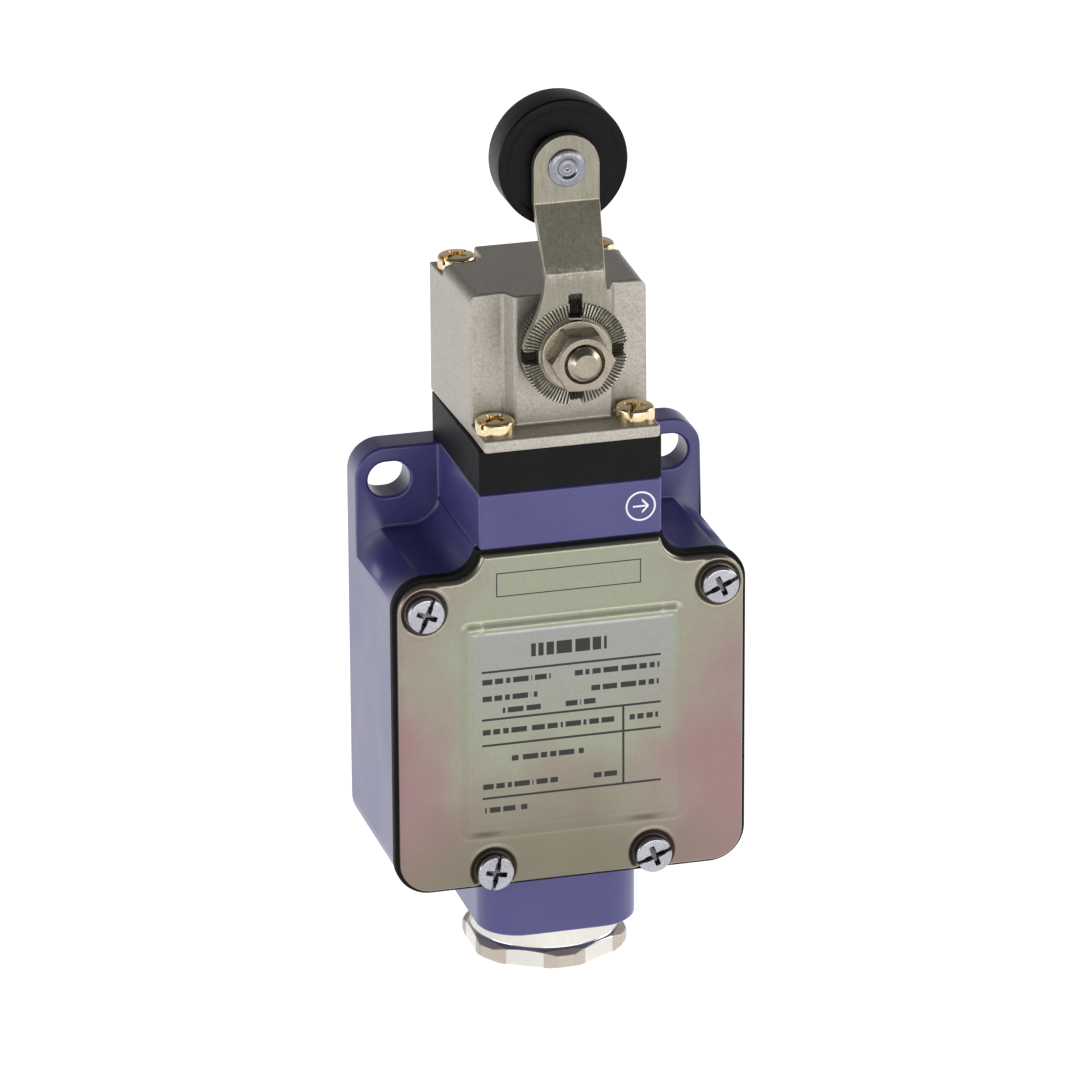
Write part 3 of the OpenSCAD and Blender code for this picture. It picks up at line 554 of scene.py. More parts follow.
def edge_distance(x, z):
    """Distance inwards from the cover's edge, for a point on the cover.

    Beside the tongue it is the distance inside a rectangle with round corners. Under the
    tongue the nearest edge is the bottom, the tongue's top or the hollow quarter circle.
    """
    x = np.abs(x)
    r = np.where(z < (SHOULDER_Z + COVER_BOTTOM) / 2, LOWER_R, UPPER_R)
    past_x = x - (HALF - r)
    past_z = np.abs(z - (SHOULDER_Z + COVER_BOTTOM) / 2) - ((SHOULDER_Z - COVER_BOTTOM) / 2 - r)
    beside = r - np.hypot(np.maximum(past_x, 0), np.maximum(past_z, 0))
    beside -= np.minimum(np.maximum(past_x, past_z), 0)
    hollow_x = neck_half - INSET + FILLET_R
    hollow = np.hypot(x - hollow_x, z - SHOULDER_Z - FILLET_R) - FILLET_R
    under = np.minimum(np.minimum(z - COVER_BOTTOM, TONGUE_TOP - z), hollow)
    return np.where(x > hollow_x, beside, under)


# %% Relief of the cover
PANEL_LOW, PANEL_HIGH = -46.2, -15.8
PANEL_HALF, BORDER, PANEL_RISE, RIM_R = 15.2, 1.8, 0.55, 0.75
FACE_Y = -COVER_LOW[1] - 0.5


def ease(value):
    """Smooth step from 0 to 1 while value runs from 0 to 1: 3t^2 - 2t^3."""
    t = np.clip(value, 0, 1)
    return t * t * (3 - 2 * t)


def cover_relief(x, z):
    """Height over the cover's flat face: panel behind its border, less a dish per screw.

    The border's height grows with the distance inside its outer rectangle, and the press
    leaves a fine crease along both of its edges. A dish is flat
    to the radius of the screw's head, then its wall climbs to the face in half a millimetre.
    """
    middle = (PANEL_LOW + PANEL_HIGH) / 2
    half_high = (PANEL_HIGH - PANEL_LOW) / 2
    past_x, past_z = np.abs(x) - PANEL_HALF, np.abs(z - middle) - half_high
    beside = np.hypot(np.maximum(past_x, 0), np.maximum(past_z, 0))
    beside += np.minimum(np.maximum(past_x, past_z), 0)
    panel = PANEL_RISE * ease((BORDER - beside) / BORDER) * (beside > 0) + PANEL_RISE * (beside <= 0)
    creases = 0.11 * np.exp(-(beside / 0.2) ** 2) + 0.06 * np.exp(-((beside - BORDER) / 0.22) ** 2)
    away = np.min([np.hypot(x - at[0], z - at[1]) for at in SCREW_AT], axis=0)
    dish = 0.5 * (1 - ease((away - HEAD_R - 0.1) / 0.75)) - 0.1 * np.exp(-((away - 3.75) / 0.3) ** 2)
    return panel - creases - dish


def cover_sheet(columns=300, rows=280):
    """Front, rolled rim and back of the cover as one closed shell.

    Columns crowd towards the sides and rows towards both edges, as the sine does. The rim
    drops away over its last RIM_R as a quarter circle of that radius.
    """
    t = np.linspace(-1, 1, columns)
    x = HALF * (0.35 * t + 0.65 * np.sin(np.pi / 2 * t))
    s = (1 - np.cos(np.pi * np.linspace(0, 1, rows))) / 2
    s = 0.5 * s + 0.5 * np.linspace(0, 1, rows)
    low, high = lower_edge(x), upper_edge(x)
    z = low[:, None] + (high - low)[:, None] * s
    x = np.repeat(x[:, None], rows, 1)
    fall = np.clip(RIM_R - edge_distance(x, z), 0, RIM_R)
    rolled = RIM_R - np.sqrt(RIM_R ** 2 - fall ** 2)
    front = np.stack([x, -(FACE_Y + cover_relief(x, z) - rolled), z], axis=-1)
    edge = np.concatenate([front[:, 0], front[-1, 1:], front[-2::-1, -1], front[0, -2:0:-1]])
    rim = np.stack([edge, edge], axis=0)
    rim[1, :, 1] = GASKET_LOW[1]
    points, faces = gather([
        (front.reshape(-1, 3), grid_faces(columns, rows, wrap=False)),
        (rim.reshape(-1, 3), grid_faces(2, len(edge)))])
    back = list(range(len(points) - len(edge), len(points)))
    return points, faces.tolist() + [back]


# %% [markdown]
# The zinc on the cover is passivated: a clear film a few hundred nanometres thick turns it
# faintly green, yellow and pink, in clouds that drift over the sheet as the bath drained.
# The label is printed straight on the metal. Only its rules and its blank name field are
# drawn here, with rows of plain bars where lines of print would stand.

# %% Cover steel
def cover_steel():
    finish = Finish("cover_steel")
    drift = finish.noise(26.0, 3.0, 0.6)
    wisp = finish.noise(7.0, 4.0, 0.6, (1, 1, 2.2))
    grain = finish.noise(0.16, 3.0, 0.7, (1, 1, 5))
    speck = finish.noise(0.5, 4.0, 0.7)
    side = finish.spread(abs(finish.x + 3.0), 9.0, 26.0)
    low = finish.spread(finish.z, -26.0, -52.0)
    pink = finish.spread(drift + side * 0.34 + low * 0.22 + wisp * 0.22, 0.66, 1.02)
    olive = finish.spread(low * 0.7 + drift * 0.6 - side * 0.35, 0.55, 1.0)
    base = blend_colours(pink, rgb(150, 154, 134), rgb(150, 120, 120))
    base = blend_colours(olive, base, rgb(122, 116, 98))
    inside = bar(finish, 0.0, PANEL_HALF, (PANEL_LOW + PANEL_HIGH) / 2, PANEL_HALF)
    cool = inside * finish.spread(finish.z + wisp * 8.0, -30.0, -14.0) * 0.75
    base = blend_colours(cool, base, rgb(152, 153, 156))
    base = blend_colours(finish.spread(speck, 0.25, 0.8) * 0.3, base, rgb(112, 112, 98))
    ink = cover_print(finish)
    colour = blend_colours(ink, base, rgb(6, 6, 6))
    rough = finish.spread(grain * 0.6 + speck * 0.4, 0.3, 0.7, 0.27, 0.4) + ink * 0.25
    return finish.close(colour, rough, grain * 0.6 + speck * 0.4, 0.012,
                        {"Coat Weight": 0.3, "Coat Roughness": 0.25},
                        metallic=0.92 - 0.85 * ink)


def bar(finish, x, half_x, z, half_z):
    """Mask of an upright rectangle on the cover."""
    return (abs(finish.x - x) < half_x) * (abs(finish.z - z) < half_z)


def print_line(finish, z, left, right, half=0.42):
    """Row of bars standing for a line of print; two combs that don't match cut it into words."""
    line = bar(finish, (left + right) / 2, (right - left) / 2, z, half)
    for pitch, share in ((4.3, 0.9), (2.7, 0.86)):
        along = finish.x / pitch + 0.37 * z
        line = line * (along.maths("FRACT", along) < share)
    return line


def cover_print(finish):
    """Ink on the cover: rules, the blank name field and the rows of bars, as one mask."""
    thin = 0.17
    parts = [bar(finish, -0.3, 13.4, z, thin) for z in (-21.85, -29.25, -33.25, -41.5)]
    parts.append(bar(finish, 7.45, thin, -35.4, 6.1))
    parts.append(bar(finish, -0.5, 10.8, -8.8, 1.85)
                 - bar(finish, -0.5, 10.8 - thin, -8.8, 1.85 - thin))
    parts.append(print_line(finish, -19.1, -6.3, 5.0, 1.0))
    for z, left, right in ((-23.4, -13.6, -3.4), (-23.4, 0.2, 12.9), (-26.0, -13.6, -5.4),
                           (-26.0, 2.3, 12.8), (-28.0, -10.6, -4.9), (-28.0, -1.2, 3.6),
                           (-31.2, -13.6, 6.1), (-31.2, 8.4, 12.7), (-35.6, -9.3, 1.5),
                           (-39.7, -13.6, -2.4), (-39.7, 2.5, 6.5), (-43.4, -13.6, -7.0)):
        parts.append(print_line(finish, z, left, right))
    return parts[0].maths("MINIMUM", sum(parts[1:], parts[0]), 1.0)


STEEL = cover_steel()
new_object("front_cover_pressed", *cover_sheet(), "switch_body", "front_cover",
           "cover_steel", STEEL, smooth=60)


# %% [markdown]
# Every screw here has a combined drive, a cross recess over a slot, so that either driver
# fits. Its head is a disc of points: a square grid squeezed into a circle keeps its lines
# nearly straight in the middle, where the recess needs them.

# %% Screw heads
def driven_head(radius, height, slot=0.24, cross=0.5, crown=0.12, cells=64, spread=0.36):
    """Head of a screw: a disc whose height falls into a slot and a cross recess.

    A square grid (u, v) becomes a disc as x = u sqrt(1 - v^2/2), y = v sqrt(1 - u^2/2).
    The head's edge is a quarter circle of radius `spread`, and a wall closes the disc.
    """
    t = np.linspace(-1, 1, cells + 1)
    u, v = np.meshgrid(t, t, indexing="ij")
    x, y = radius * u * np.sqrt(1 - v * v / 2), radius * v * np.sqrt(1 - u * u / 2)
    away = np.hypot(x, y)
    fall = np.clip((away - (radius - spread)) / spread, 0, 1)
    top = height - spread * (1 - np.sqrt(1 - 0.98 * fall ** 2)) + crown * (1 - (away / radius) ** 2)
    wall = 0.1 * radius / 2.7
    in_slot = 1 - ease((np.abs(y) - slot) / wall + 0.5)
    reach = 0.56 * radius
    narrow = 0.33 * radius / 2.7 * (1 + 0.25 * (reach - away) / reach)
    arm = np.minimum(np.abs(x), np.abs(y))
    in_cross = (1 - ease((arm - narrow) / wall + 0.5)) * (1 - ease((away - reach) / (2 * wall) + 0.5))
    sink = np.maximum(0.75 * in_slot, (0.95 + 0.5 * (1 - away / radius)) * in_cross * cross / 0.5)
    disc = np.stack([x, y, top - sink], axis=-1)
    edge = np.concatenate([disc[:, 0], disc[-1, 1:], disc[-2::-1, -1], disc[0, -2:0:-1]])
    under = edge.copy()
    under[:, 2] = 0.0
    middle = np.zeros_like(edge)
    side = np.stack([edge, under, middle], axis=0)
    return gather([(disc.reshape(-1, 3), grid_faces(cells + 1, cells + 1, wrap=False)),
                   (side.reshape(-1, 3), grid_faces(3, len(edge)))])


def spun(part, degrees):
    """The same part turned about its own axis."""
    points, faces = part
    c, s = math.cos(math.radians(degrees)), math.sin(math.radians(degrees))
    return np.stack([c * points[:, 0] - s * points[:, 1], s * points[:, 0] + c * points[:, 1],
                     points[:, 2]], axis=-1), faces


def shank(radius, length, sides=24):
    """Plain shank below a head, from just inside the head down."""
    return turned([(0, 0.1), (radius, 0.1), (radius, -length + 0.3), (radius - 0.3, -length),
                   (0, -length)], sides)


def plated(name, bright, dark, rough=(0.16, 0.3), grain=0.35, depth=0.008, stretch=(1, 1, 1),
           sunk=None):
    """Plated metal: a fine grain varies its tone and gloss, and faint stains dull it.

    Past the distance `sunk` behind y = 0, in a recess or under a head, a painted shade darkens it.
    """
    finish = Finish(name)
    fine = finish.noise(grain, 4.0, 0.7, stretch)
    stain = finish.noise(grain * 14, 3.0)
    tone = finish.spread(fine * 0.55 + stain * 0.45, 0.35, 0.7)
    colour = blend_colours(tone, rgb(*bright), rgb(*dark))
    if sunk:
        # painted shade: past `sunk` the colour turns dark, in the cross recess and on the side of the head
        painted_recess_shade = finish.spread(finish.y, sunk, sunk + 0.5) * 0.8
        colour = blend_colours(painted_recess_shade, colour, rgb(58, 54, 52))
    return finish.close(colour, finish.spread(fine * 0.5 + stain * 0.5, 0.3, 0.7, *rough),
                        fine, depth, metallic=1.0 - 0.08 * stain)


seat_y = COVER_LOW[1] + 1.0
SILVER = plated("screw_silver", (192, 192, 200), (142, 140, 148), sunk=seat_y - 1.85)
GOLD = plated("screw_gold", (242, 226, 190), (214, 184, 134), (0.08, 0.18))
parts = []
for (x, z), turn in zip(SCREW_AT, (68, 24, 78, 20)):
    head = gather([spun(driven_head(HEAD_R, 2.05), turn), shank(1.5, 8.0)])
    parts.append((place_y(head[0], x, seat_y, z), head[1]))
new_object("cover_screws_cross_slot", *gather(parts), "switch_body",
           "cover_screws", "screw_silver", SILVER)


# %% [markdown]
# The head is cast alloy with a nickel-grey satin finish. Close up the satin is a grain of
# bright and dull grains a fifth of a millimetre wide, coarser than any brushing. Four
# yellow zinc-plated screws clamp it down through the collar.

# %% Head
def head_metal():
    finish = Finish("head_metal")
    grain = finish.noise(0.22, 4.0, 0.8)
    coarse = finish.noise(0.7, 3.0, 0.6)
    patch = finish.noise(12.0, 2.0)
    tone = finish.spread(grain * 0.75 + coarse * 0.15 + patch * 0.1, 0.36, 0.64)
    return finish.close(blend_colours(tone, rgb(146, 140, 130), rgb(198, 192, 182)),
                        finish.spread(grain, 0.3, 0.7, 0.36, 0.52),
                        grain * 0.7 + coarse * 0.3, 0.03, metallic=0.8 - 0.12 * patch)


def head_edge(first, last):
    """Full width on the long edges along both sides of the head's top, a quarter elsewhere."""
    top, half = HEAD_HIGH[2] - 0.01, HEAD_HIGH[0] - 1.2
    long_edge = min(first[2], last[2]) > top and min(abs(first[0]), abs(last[0])) > half
    return 1.0 if long_edge else 0.25


HEAD = head_metal()
HEAD_HIGH = box_mm("head_housing")[1]
head = softened("head_housing", "head_casting", 1.6, HEAD, "head_metal", segments=5,
                weigh=head_edge)
SCREW_R, SCREW_HEAD, SCREW_SEAT = 2.8, 1.85, 1.9
for node in ("front_head_screws", "rear_head_screws"):
    low, high = box_mm(node)
    seat_z = high[2] - SCREW_SEAT
    y = (low[1] + high[1]) / 2
    parts = []
    for side, turn in ((-1, 35), (1, 62)):
        x = side * (high[0] - SCREW_R)
        head_points, head_faces = gather([
            spun(driven_head(SCREW_R, SCREW_HEAD, spread=0.5, cross=0.6), turn),
            shank(1.5, seat_z - low[2], 24)])
        parts.append((head_points + (x, y, seat_z), head_faces))
    new_object(node + "_cross_slot", *gather(parts), "switch_body", node, "screw_gold", GOLD)


# %% [markdown]
# The gland nut is turned from bar and then milled: its barrel is bright and round, and the
# six flats are cut into it and left dull. The nearer a point lies to one of the six planes,
# the duller it is, which is how one material tells the two finishes apart.

# %% Gland nut
def gland_metal(middle_y, half_flat):
    finish = Finish("gland_nickel")
    y = finish.y - middle_y
    reach = None
    for turn in (0, 60, 120):
        c, s = math.cos(math.radians(turn)), math.sin(math.radians(turn))
        one = abs(finish.x * s + y * c)
        reach = one if reach is None else reach.maths("MAXIMUM", reach, one)
    flat = finish.spread(reach, half_flat - 0.12, half_flat - 0.06)
    grain = finish.noise(0.35, 4.0, 0.7)
    lathe = finish.noise(0.12, 2.0, 0.5, (400, 400, 1))
    colour = blend_colours(flat, rgb(226, 224, 216), rgb(196, 186, 174))
    colour = blend_colours(finish.spread(grain, 0.3, 0.75) * 0.3, colour, rgb(168, 158, 146))
    rough = finish.spread(flat, 0, 1, 0.13, 0.46) + 0.06 * grain
    return finish.close(colour, rough, grain * flat * 0.8 + lathe * (1 - flat) * 0.2, 0.02,
                        metallic=1.0 - 0.25 * flat)


gland_low, gland_high = box_mm("gland_nut")
gland_y = (gland_low[1] + gland_high[1]) / 2
NICKEL = gland_metal(gland_y, 11.3)
softened("gland_nut", "gland_nut_turned", 0.18, NICKEL, "gland_nickel", segments=2)


# %% [markdown]
# The lever is clamped to its hub by radial serrations, so it can be set at any of 88
# angles. Their teeth are coined into the steel. Each tooth is a small ridge whose height
# rises and falls with the angle, and the ring is cut by the four notches, whose sides are
# parallel, so each sector starts and ends at an angle that depends on the radius.

# %% Lever
LEVER_LOW = box_mm("lever_arm")[0]
TEETH = 88


def zigzag(turns):
    """Triangle wave between 0 and 1 that comes back once per turn."""
    return np.abs(2 * (turns - np.floor(turns)) - 1)


def closed_patch(top, floor_level):
    """Grid of points (rows, columns, 3) closed by a flat floor and a wall round its edge."""
    rows, columns = top.shape[:2]
    under = top.copy()
    under[..., 2] = floor_level
    edge = np.concatenate([top[:, 0], top[-1, 1:], top[-2::-1, -1], top[0, -2:0:-1]])
    below = edge.copy()
    below[:, 2] = floor_level
    return gather([
        (top.reshape(-1, 3), grid_faces(rows, columns, wrap=False)),
        (under.reshape(-1, 3), grid_faces(rows, columns, wrap=False)[:, ::-1]),
        (np.concatenate([edge, below]), grid_faces(2, len(edge)))])


def serrated_sector(middle_degrees, half_notch, inner, outer, rise):
    """Quarter of a serrated ring between two parallel-sided notches.

    At radius r the sector leaves asin(half_notch / r) free at both ends. The height over
    the plate is `rise` times a triangle wave of the angle, which fades at the inner edge.
    """
    radius = np.linspace(inner, outer, 12)[:, None]
    free = np.arcsin(half_notch / radius)
    share = np.linspace(-1, 1, 160)[None, :]
    angle = math.radians(middle_degrees) + share * (np.pi / 4 - free)
    tooth = zigzag(angle * TEETH / (2 * np.pi))
    fade = ease((radius - inner) / 0.5) * ease((outer - radius) / 0.12 + 0.45)
    height = rise * (tooth ** 0.8 * fade - 0.12)
    return np.stack([radius * np.cos(angle), radius * np.sin(angle), height], axis=-1)


def lever_steel(name, bright, dark, serrated=False):
    """Satin pressed steel: rolled grain along the strip, broken up where it was bent.

    With `serrated`, the grooves between the teeth are painted darker: the mask follows the angle.
    """
    finish = Finish(name)
    grain = finish.noise(0.35, 4.0, 0.75)
    rolled = finish.noise(0.5, 3.0, 0.6, (1, 1, 7))
    patch = finish.noise(8.0, 2.0)
    tone = finish.spread(grain * 0.4 + rolled * 0.3 + patch * 0.3, 0.35, 0.65)
    colour = blend_colours(tone, rgb(*dark), rgb(*bright))
    bend = finish.spread(abs(finish.z - SHAFT_Z - 12), 1.5, 0.5)
    crease = finish.spread(finish.noise(0.55, 4.0, 0.8), 0.45, 0.7) * bend
    colour = blend_colours(crease * 0.5, colour, rgb(205, 202, 196))
    if serrated:
        up = finish.z - SHAFT_Z
        around = up.maths("ARCTAN2", up, finish.x) * (TEETH / (2 * math.pi)) + TEETH
        groove = abs(around.maths("FRACT", around) * 2 - 1)
        # the grooves between the teeth are painted darker
        colour = blend_colours(finish.spread(groove, 0.55, 0.3), colour, rgb(84, 82, 75))
    return finish.close(colour, finish.spread(grain, 0.3, 0.7, 0.26, 0.36) + crease * 0.15,
                        grain * 0.5 + rolled * 0.2 + crease * 0.6, 0.02, metallic=0.9 - 0.1 * patch)


LEVER = lever_steel("lever_steel", (160, 155, 140), (126, 122, 108))
TOOTHED = lever_steel("serrated_steel", (196, 192, 178), (160, 156, 142), serrated=True)
softened("lever_arm", "lever_pressed", 0.2, LEVER, "lever_steel", "lever", 2, 18)
lever_front = -LEVER_LOW[1]
parts = []
for middle in (45, 135, 225, 315):
    top = serrated_sector(middle, 0.97, 5.2, 7.62, 0.34)
    points, faces = closed_patch(top, -0.3)
    parts.append((place_y(points, 0, -lever_front, SHAFT_Z), faces))
new_object("lever_serrations", *gather(parts), "lever", None, "lever_steel",
           TOOTHED, smooth=20)


# %% [markdown]
# Behind the lever sits the hub with the matching serrations, in darker steel, and in front
# the washer and a nut with chamfered corners.
# that everyone knows: the corner is wherever the cone is inside the hexagon.

# %% Hub, washer and nut
def serrated_hub():
    """Hub turned with a neck and a disc; its front ring and its rim carry the teeth."""
    low, high = box_mm("serrated_hub")
    back, front = -high[1], -low[1]
    profile = rounded([(3.0, front), (5.2, front), (7.65, front), (7.65, front - 2.3),
                       (5.2, front - 2.3), (5.2, back), (3.0, back), (3.0, front)], 0.12, 2)
    turn = np.linspace(0, 2 * np.pi, TEETH * 6, endpoint=False)
    radius, out = profile.T[:, :, None] + 0 * turn
    tooth = zigzag(turn * TEETH / (2 * np.pi) + 0.5)
    on_front = (out > front - 0.3) * ease((radius - 5.1) / 0.4)
    out = out - 0.32 * tooth * on_front
    radius = radius - 0.1 * tooth * (radius > 7.4)
    points = np.stack([radius * np.cos(turn), radius * np.sin(turn), out], axis=-1)
    return points.reshape(-1, 3), grid_faces(len(profile), len(turn))


def hexagon(turn, flats):
    """Radius of a hexagon with corners on the x axis, at each angle."""
    return flats / 2 / np.cos(np.mod(turn, np.pi / 3) - np.pi / 6)


def chamfered_nut(flats, height, bore):
    """Hexagon nut: at each height the radius is the smaller of the hexagon and the cone."""
    levels = np.concatenate([[0, 0.02, 0.12, 0.3], np.linspace(0.5, height - 0.7, 3),
                             height - np.linspace(0.6, 0, 13)])
    corner = flats / 2 / math.cos(np.pi / 6)
    turn = np.linspace(0, 2 * np.pi, 144, endpoint=False)
    past_top = np.maximum(levels - height + 0.6, 0)
    past_bottom = np.maximum(0.3 - levels, 0)
    cone = corner + 0.12 - 1.75 * (past_top + past_bottom)
    radius = np.minimum(hexagon(turn, flats)[None], cone[:, None])
    out = np.repeat(levels[:, None], len(turn), 1)
    hole = np.array([(bore + 0.45, height), (bore, height - 0.45), (bore, 0.4), (bore + 0.4, 0)])
    radius = np.concatenate([radius, np.repeat(hole[:, :1], len(turn), 1), radius[:1]])
    out = np.concatenate([out, np.repeat(hole[:, 1:], len(turn), 1), out[:1]])
    points = np.stack([radius * np.cos(turn), radius * np.sin(turn), out], axis=-1)
    return points.reshape(-1, 3), grid_faces(len(radius), len(turn))


HUB = plated("hub_steel", (112, 108, 100), (62, 58, 54), (0.34, 0.5), 0.3, 0.02)
SHAFT = plated("shaft_steel", (178, 169, 153), (132, 122, 108), (0.2, 0.34), 0.3, 0.012)
points, faces = serrated_hub()
new_object("hub_serrated", place_y(points, 0, 0, SHAFT_Z), faces, "lever",
           "serrated_hub", "hub_steel", HUB, smooth=25)
washer_high = box_mm("lever_washer")[1]
points, faces = turned(rounded([(2.65, 0.4), (2.65, 0.8), (5.1, 0.8), (5.1, 0), (2.65, 0),
                                (2.65, 0.4)], 0.18), 96)
new_object("lever_washer_ring", place_y(points, 0, washer_high[1], SHAFT_Z), faces,
           "lever", "lever_washer", "shaft_steel", SHAFT)
nut_low, nut_high = box_mm("lever_nut")
points, faces = chamfered_nut(8.1, nut_high[1] - nut_low[1], 2.54)
new_object("lever_nut_chamfered", place_y(points, 0, nut_high[1], SHAFT_Z), faces,
           "lever", "lever_nut", "shaft_steel", SHAFT, smooth=24)


# %% [markdown]
# The operating shaft ends in an M5 thread. A thread is a ridge that climbs by its pitch in
# each turn, so its radius depends on height and angle together: a triangle wave of height
# over pitch, less the angle as a share of a turn.

# %% Operating shaft
def threaded(radius, start, end, pitch=0.8, depth=0.36, steps=9, sides=72):
    """Threaded bar: rows run along the bar, and the wave follows height minus angle."""
    rows = int((end - start) / pitch * steps)
    out = np.linspace(start, end, rows)[:, None]
    turn = np.linspace(0, 2 * np.pi, sides, endpoint=False)[None, :]
    wave = zigzag(out / pitch - turn / (2 * np.pi))
    surface = radius - depth * np.clip(1.25 * wave - 0.1, 0, 1)
    surface = np.minimum(surface, radius - 0.8 + (end - out) * 0.9)
    radii = np.concatenate([0 * turn, surface, 0 * turn])
    heights = np.concatenate([start + 0 * turn, out + 0 * turn, end + 0 * turn])
    points = np.stack([radii * np.cos(turn), radii * np.sin(turn), heights], axis=-1)
    return points.reshape(-1, 3), grid_faces(rows + 2, sides)


def cam_block(half_x, low, high, back, front):
    """Body of the cam: a rectangle with round corners, carried from back to front."""
    outline = rounded([(0, low), (half_x, low), (half_x, high), (-half_x, high),
                       (-half_x, low), (0, low)], 0.4)[:-1]
    rings = [(0.92, back), (1.0, back + 0.4), (1.0, front - 0.4), (0.92, front)]
    middle = np.array([0, (low + high) / 2])
    shells = [np.column_stack([middle + (outline - middle) * share, np.full(len(outline), out)])
              for share, out in [(0, back), *rings, (0, front)]]
    return np.concatenate(shells), grid_faces(len(shells), len(outline))


shaft_low, shaft_high = box_mm("operating_shaft")
shaft_back, shaft_front = -shaft_high[1], -shaft_low[1]
bar_profile = rounded([(0, shaft_back), (2.9, shaft_back), (2.9, 9.6), (4.4, 9.6), (4.4, 18.9),
                       (3.94, 18.9), (3.94, 21.2), (3.1, 21.2), (3.1, 22.3), (3.94, 22.3),
                       (3.94, 24.95), (3.0, 24.95), (3.0, 29.6), (0, 29.6)], 0.12, 2)
points, faces = gather([turned(bar_profile, 64), threaded(2.5, 29.2, shaft_front),
                        cam_block(5.0, -3.5, -0.6, 9.6, 18.9)])
shaft = new_object("operating_shaft_turned", place_y(points, 0, 0, SHAFT_Z), faces, "lever",
                   "operating_shaft", "shaft_steel", SHAFT)


# %% [markdown]
# The roller is moulded in black nylon, with a slightly raised rim on both faces. It turns
# on a rivet whose front end is formed over the lever, leaving a dimple.

# %% Roller and rivet
def nylon():
    finish = Finish("roller_plastic")
    fine = finish.noise(0.3, 4.0, 0.7)
    scuff = finish.noise(1.6, 4.0, 0.7)
    patch = finish.noise(5.0, 2.0)
    tone = finish.spread(fine * 0.4 + scuff * 0.6, 0.4, 0.75)
    colour = blend_colours(tone, rgb(4, 4, 6), rgb(17, 16, 19))
    return finish.close(colour, finish.spread(scuff * 0.6 + patch * 0.4, 0.3, 0.7, 0.3, 0.5),
                        fine, 0.012, {"Specular IOR Level": 0.14})


NYLON = nylon()
roller_high = box_mm("roller")[1]
profile = rounded([(2.06, 0.15), (7.9, 0.15), (8.3, 0), (9.5, 0), (9.5, 5.8), (8.3, 5.8),
                   (7.9, 5.65), (2.06, 5.65), (2.06, 0.15)], 0.42, 5)
points, faces = turned(profile, 128)
new_object("roller_moulded", place_y(points, 0, roller_high[1], ROLLER_Z), faces,
           "roller", "roller", "roller_plastic", NYLON)
axle_low, axle_high = box_mm("roller_axle")
length = axle_high[1] - axle_low[1]
profile = rounded([(0, 0), (3.2, 0), (3.2, 0.6), (2.0, 0.6), (2.0, length - 0.6),
                   (2.8, length - 0.6), (2.75, length - 0.22), (2.1, length), (1.55, length),
                   (1.2, length - 0.42), (0.5, length - 0.3), (0, length - 0.62)], 0.2, 4)
RIVET = plated("rivet_steel", (160, 161, 172), (112, 110, 114), (0.16, 0.3), 0.3, 0.01)
points, faces = turned(profile, 72)
new_object("roller_rivet", place_y(points, 0, axle_high[1], ROLLER_Z), faces, "lever",
           "roller_axle", "lever_steel", RIVET)


# %% [markdown]
# Inside the closed casing are the parts that only show when it is opened. Their solids are
# right as they are, so they keep their meshes and get a finish each: moulded grain for the
# plastics, plating for the metals, drawn wire for the springs. The return spring, which
# shortens as the plunger goes down, is wound again here to the height of its solid.

# %% Inner parts
def moulded(name, light, dark, rough=(0.4, 0.55), grain=0.4):
    """Moulded plastic: a fine spark-eroded grain and slow flow marks."""
    finish = Finish(name)
    fine = finish.noise(grain, 4.0, 0.7)
    flow = finish.noise(grain * 18, 3.0, 0.6, (2, 1, 1))
    tone = finish.spread(fine * 0.5 + flow * 0.5, 0.35, 0.65)
    return finish.close(blend_colours(tone, rgb(*light), rgb(*dark)),
                        finish.spread(fine, 0.3, 0.7, *rough), fine, 0.02)


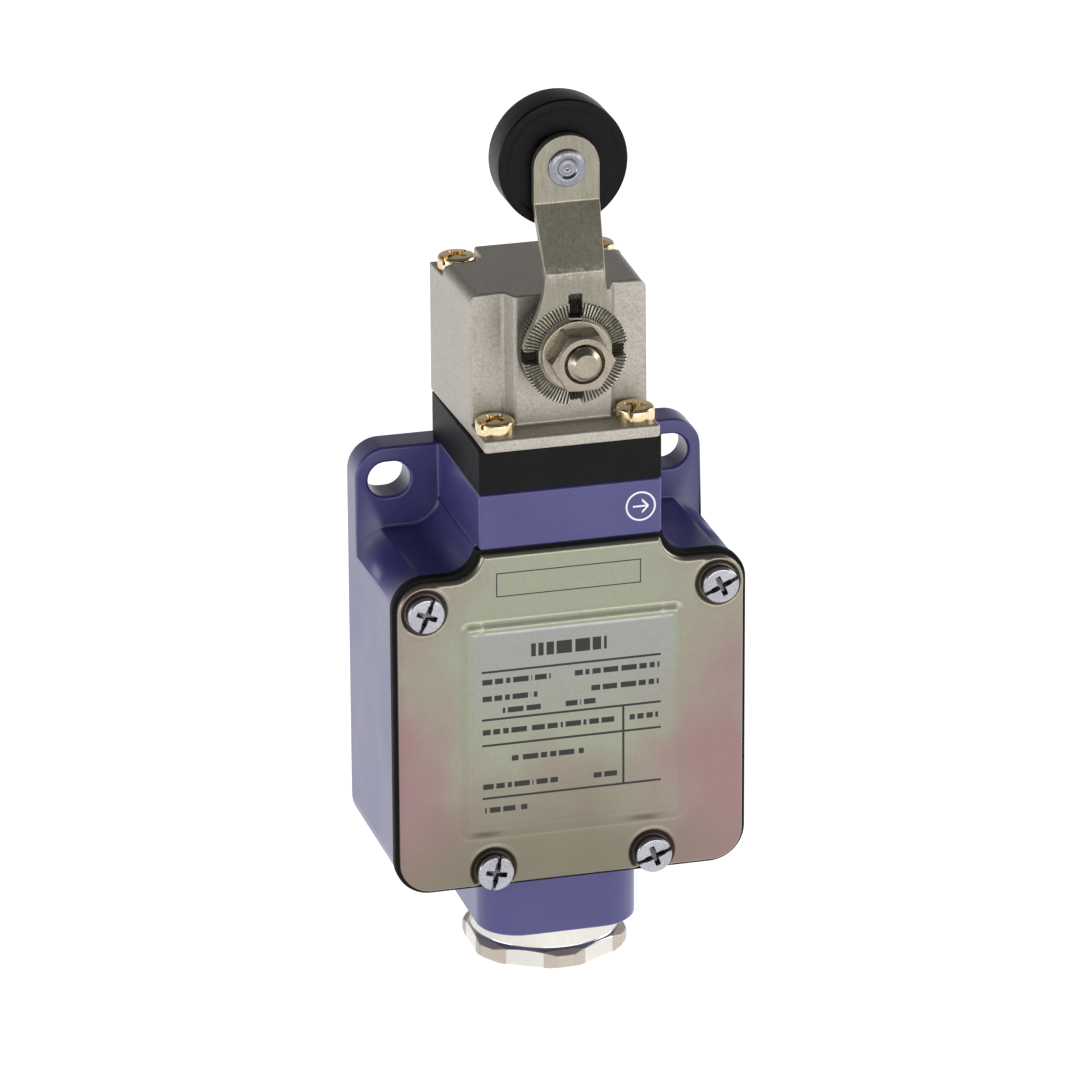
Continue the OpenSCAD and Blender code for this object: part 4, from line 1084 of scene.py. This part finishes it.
inner = {
    "screw_silver": plated("inner_silver", (206, 206, 212), (160, 158, 164)), "shaft_steel": SHAFT,
    "seal_rubber": black_grain("seal_rubber", (38, 38, 38), (62, 60, 60), 0.3, (0.5, 0.7), 0.03),
    "bush_bronze": plated("bush_bronze", (206, 160, 110), (150, 106, 66), (0.35, 0.5), 0.25, 0.02),
    "guide_plastic": moulded("guide_plastic", (226, 220, 200), (206, 198, 176)),
    "block_plastic": moulded("block_plastic", (196, 198, 198), (176, 178, 178)),
    "carrier_plastic": moulded("carrier_plastic", (178, 46, 36), (150, 36, 28)),
    "contact_brass": plated("contact_brass", (226, 196, 128), (186, 150, 84), (0.2, 0.34)),
    "spring_steel": plated("spring_steel", (196, 196, 200), (150, 150, 156), (0.2, 0.32), 0.15,
                           0.008, (1, 1, 5)),
}


def coil_spring(radius, wire, height, turns, sides=12, steps=48):
    """Round wire wound into a coil whose middle line climbs evenly, closed at both ends.

    A point is (reach cos t, reach sin t, climb + wire sin s), with reach = radius +
    wire cos s, where t runs along the wire and s round it.
    """
    t = np.linspace(0, 2 * np.pi * turns, turns * steps + 1)[:, None]
    s = np.linspace(0, 2 * np.pi, sides, endpoint=False)[None, :]
    thick = np.full((len(t) + 2, 1), wire)
    thick[[0, -1]] = 0.0
    t = np.concatenate([t[:1], t, t[-1:]])
    reach = radius + thick * np.cos(s)
    points = np.stack([reach * np.cos(t), reach * np.sin(t),
                       height * t / t[-1] + thick * np.sin(s)], axis=-1)
    return points.reshape(-1, 3), grid_faces(len(t), sides)


spring_low, spring_high = box_mm("return_spring")
WIRE, TURNS, TRAVEL = 0.35, 4, 2.5
tall = spring_high[2] - spring_low[2]
points, faces = coil_spring(spring_high[0] - WIRE, WIRE, tall - 2 * WIRE, TURNS)
place = (0, (spring_low[1] + spring_high[1]) / 2, spring_low[2] + WIRE)
spring = new_object("return_spring_coil", points + place, faces, "switch_body",
                    "return_spring", "spring_steel", inner["spring_steel"])
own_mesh(spring)

slots = {part["node"]: part["material_slot"] for part in frame["record"]["subparts"]}
kept = [node for name, node in frame["nodes"].items() if not node.hide_render]
for node in kept:
    node.data.materials.clear()
    node.data.materials.append(inner[slots[node.name]])
print(len(kept), "solids keep their own mesh:", ", ".join(sorted(node.name for node in kept)))


# %% [markdown]
# What is seen should agree with the solids to a tenth of a millimetre, because other parts
# are fitted to the solids. With that the frame is dressed.
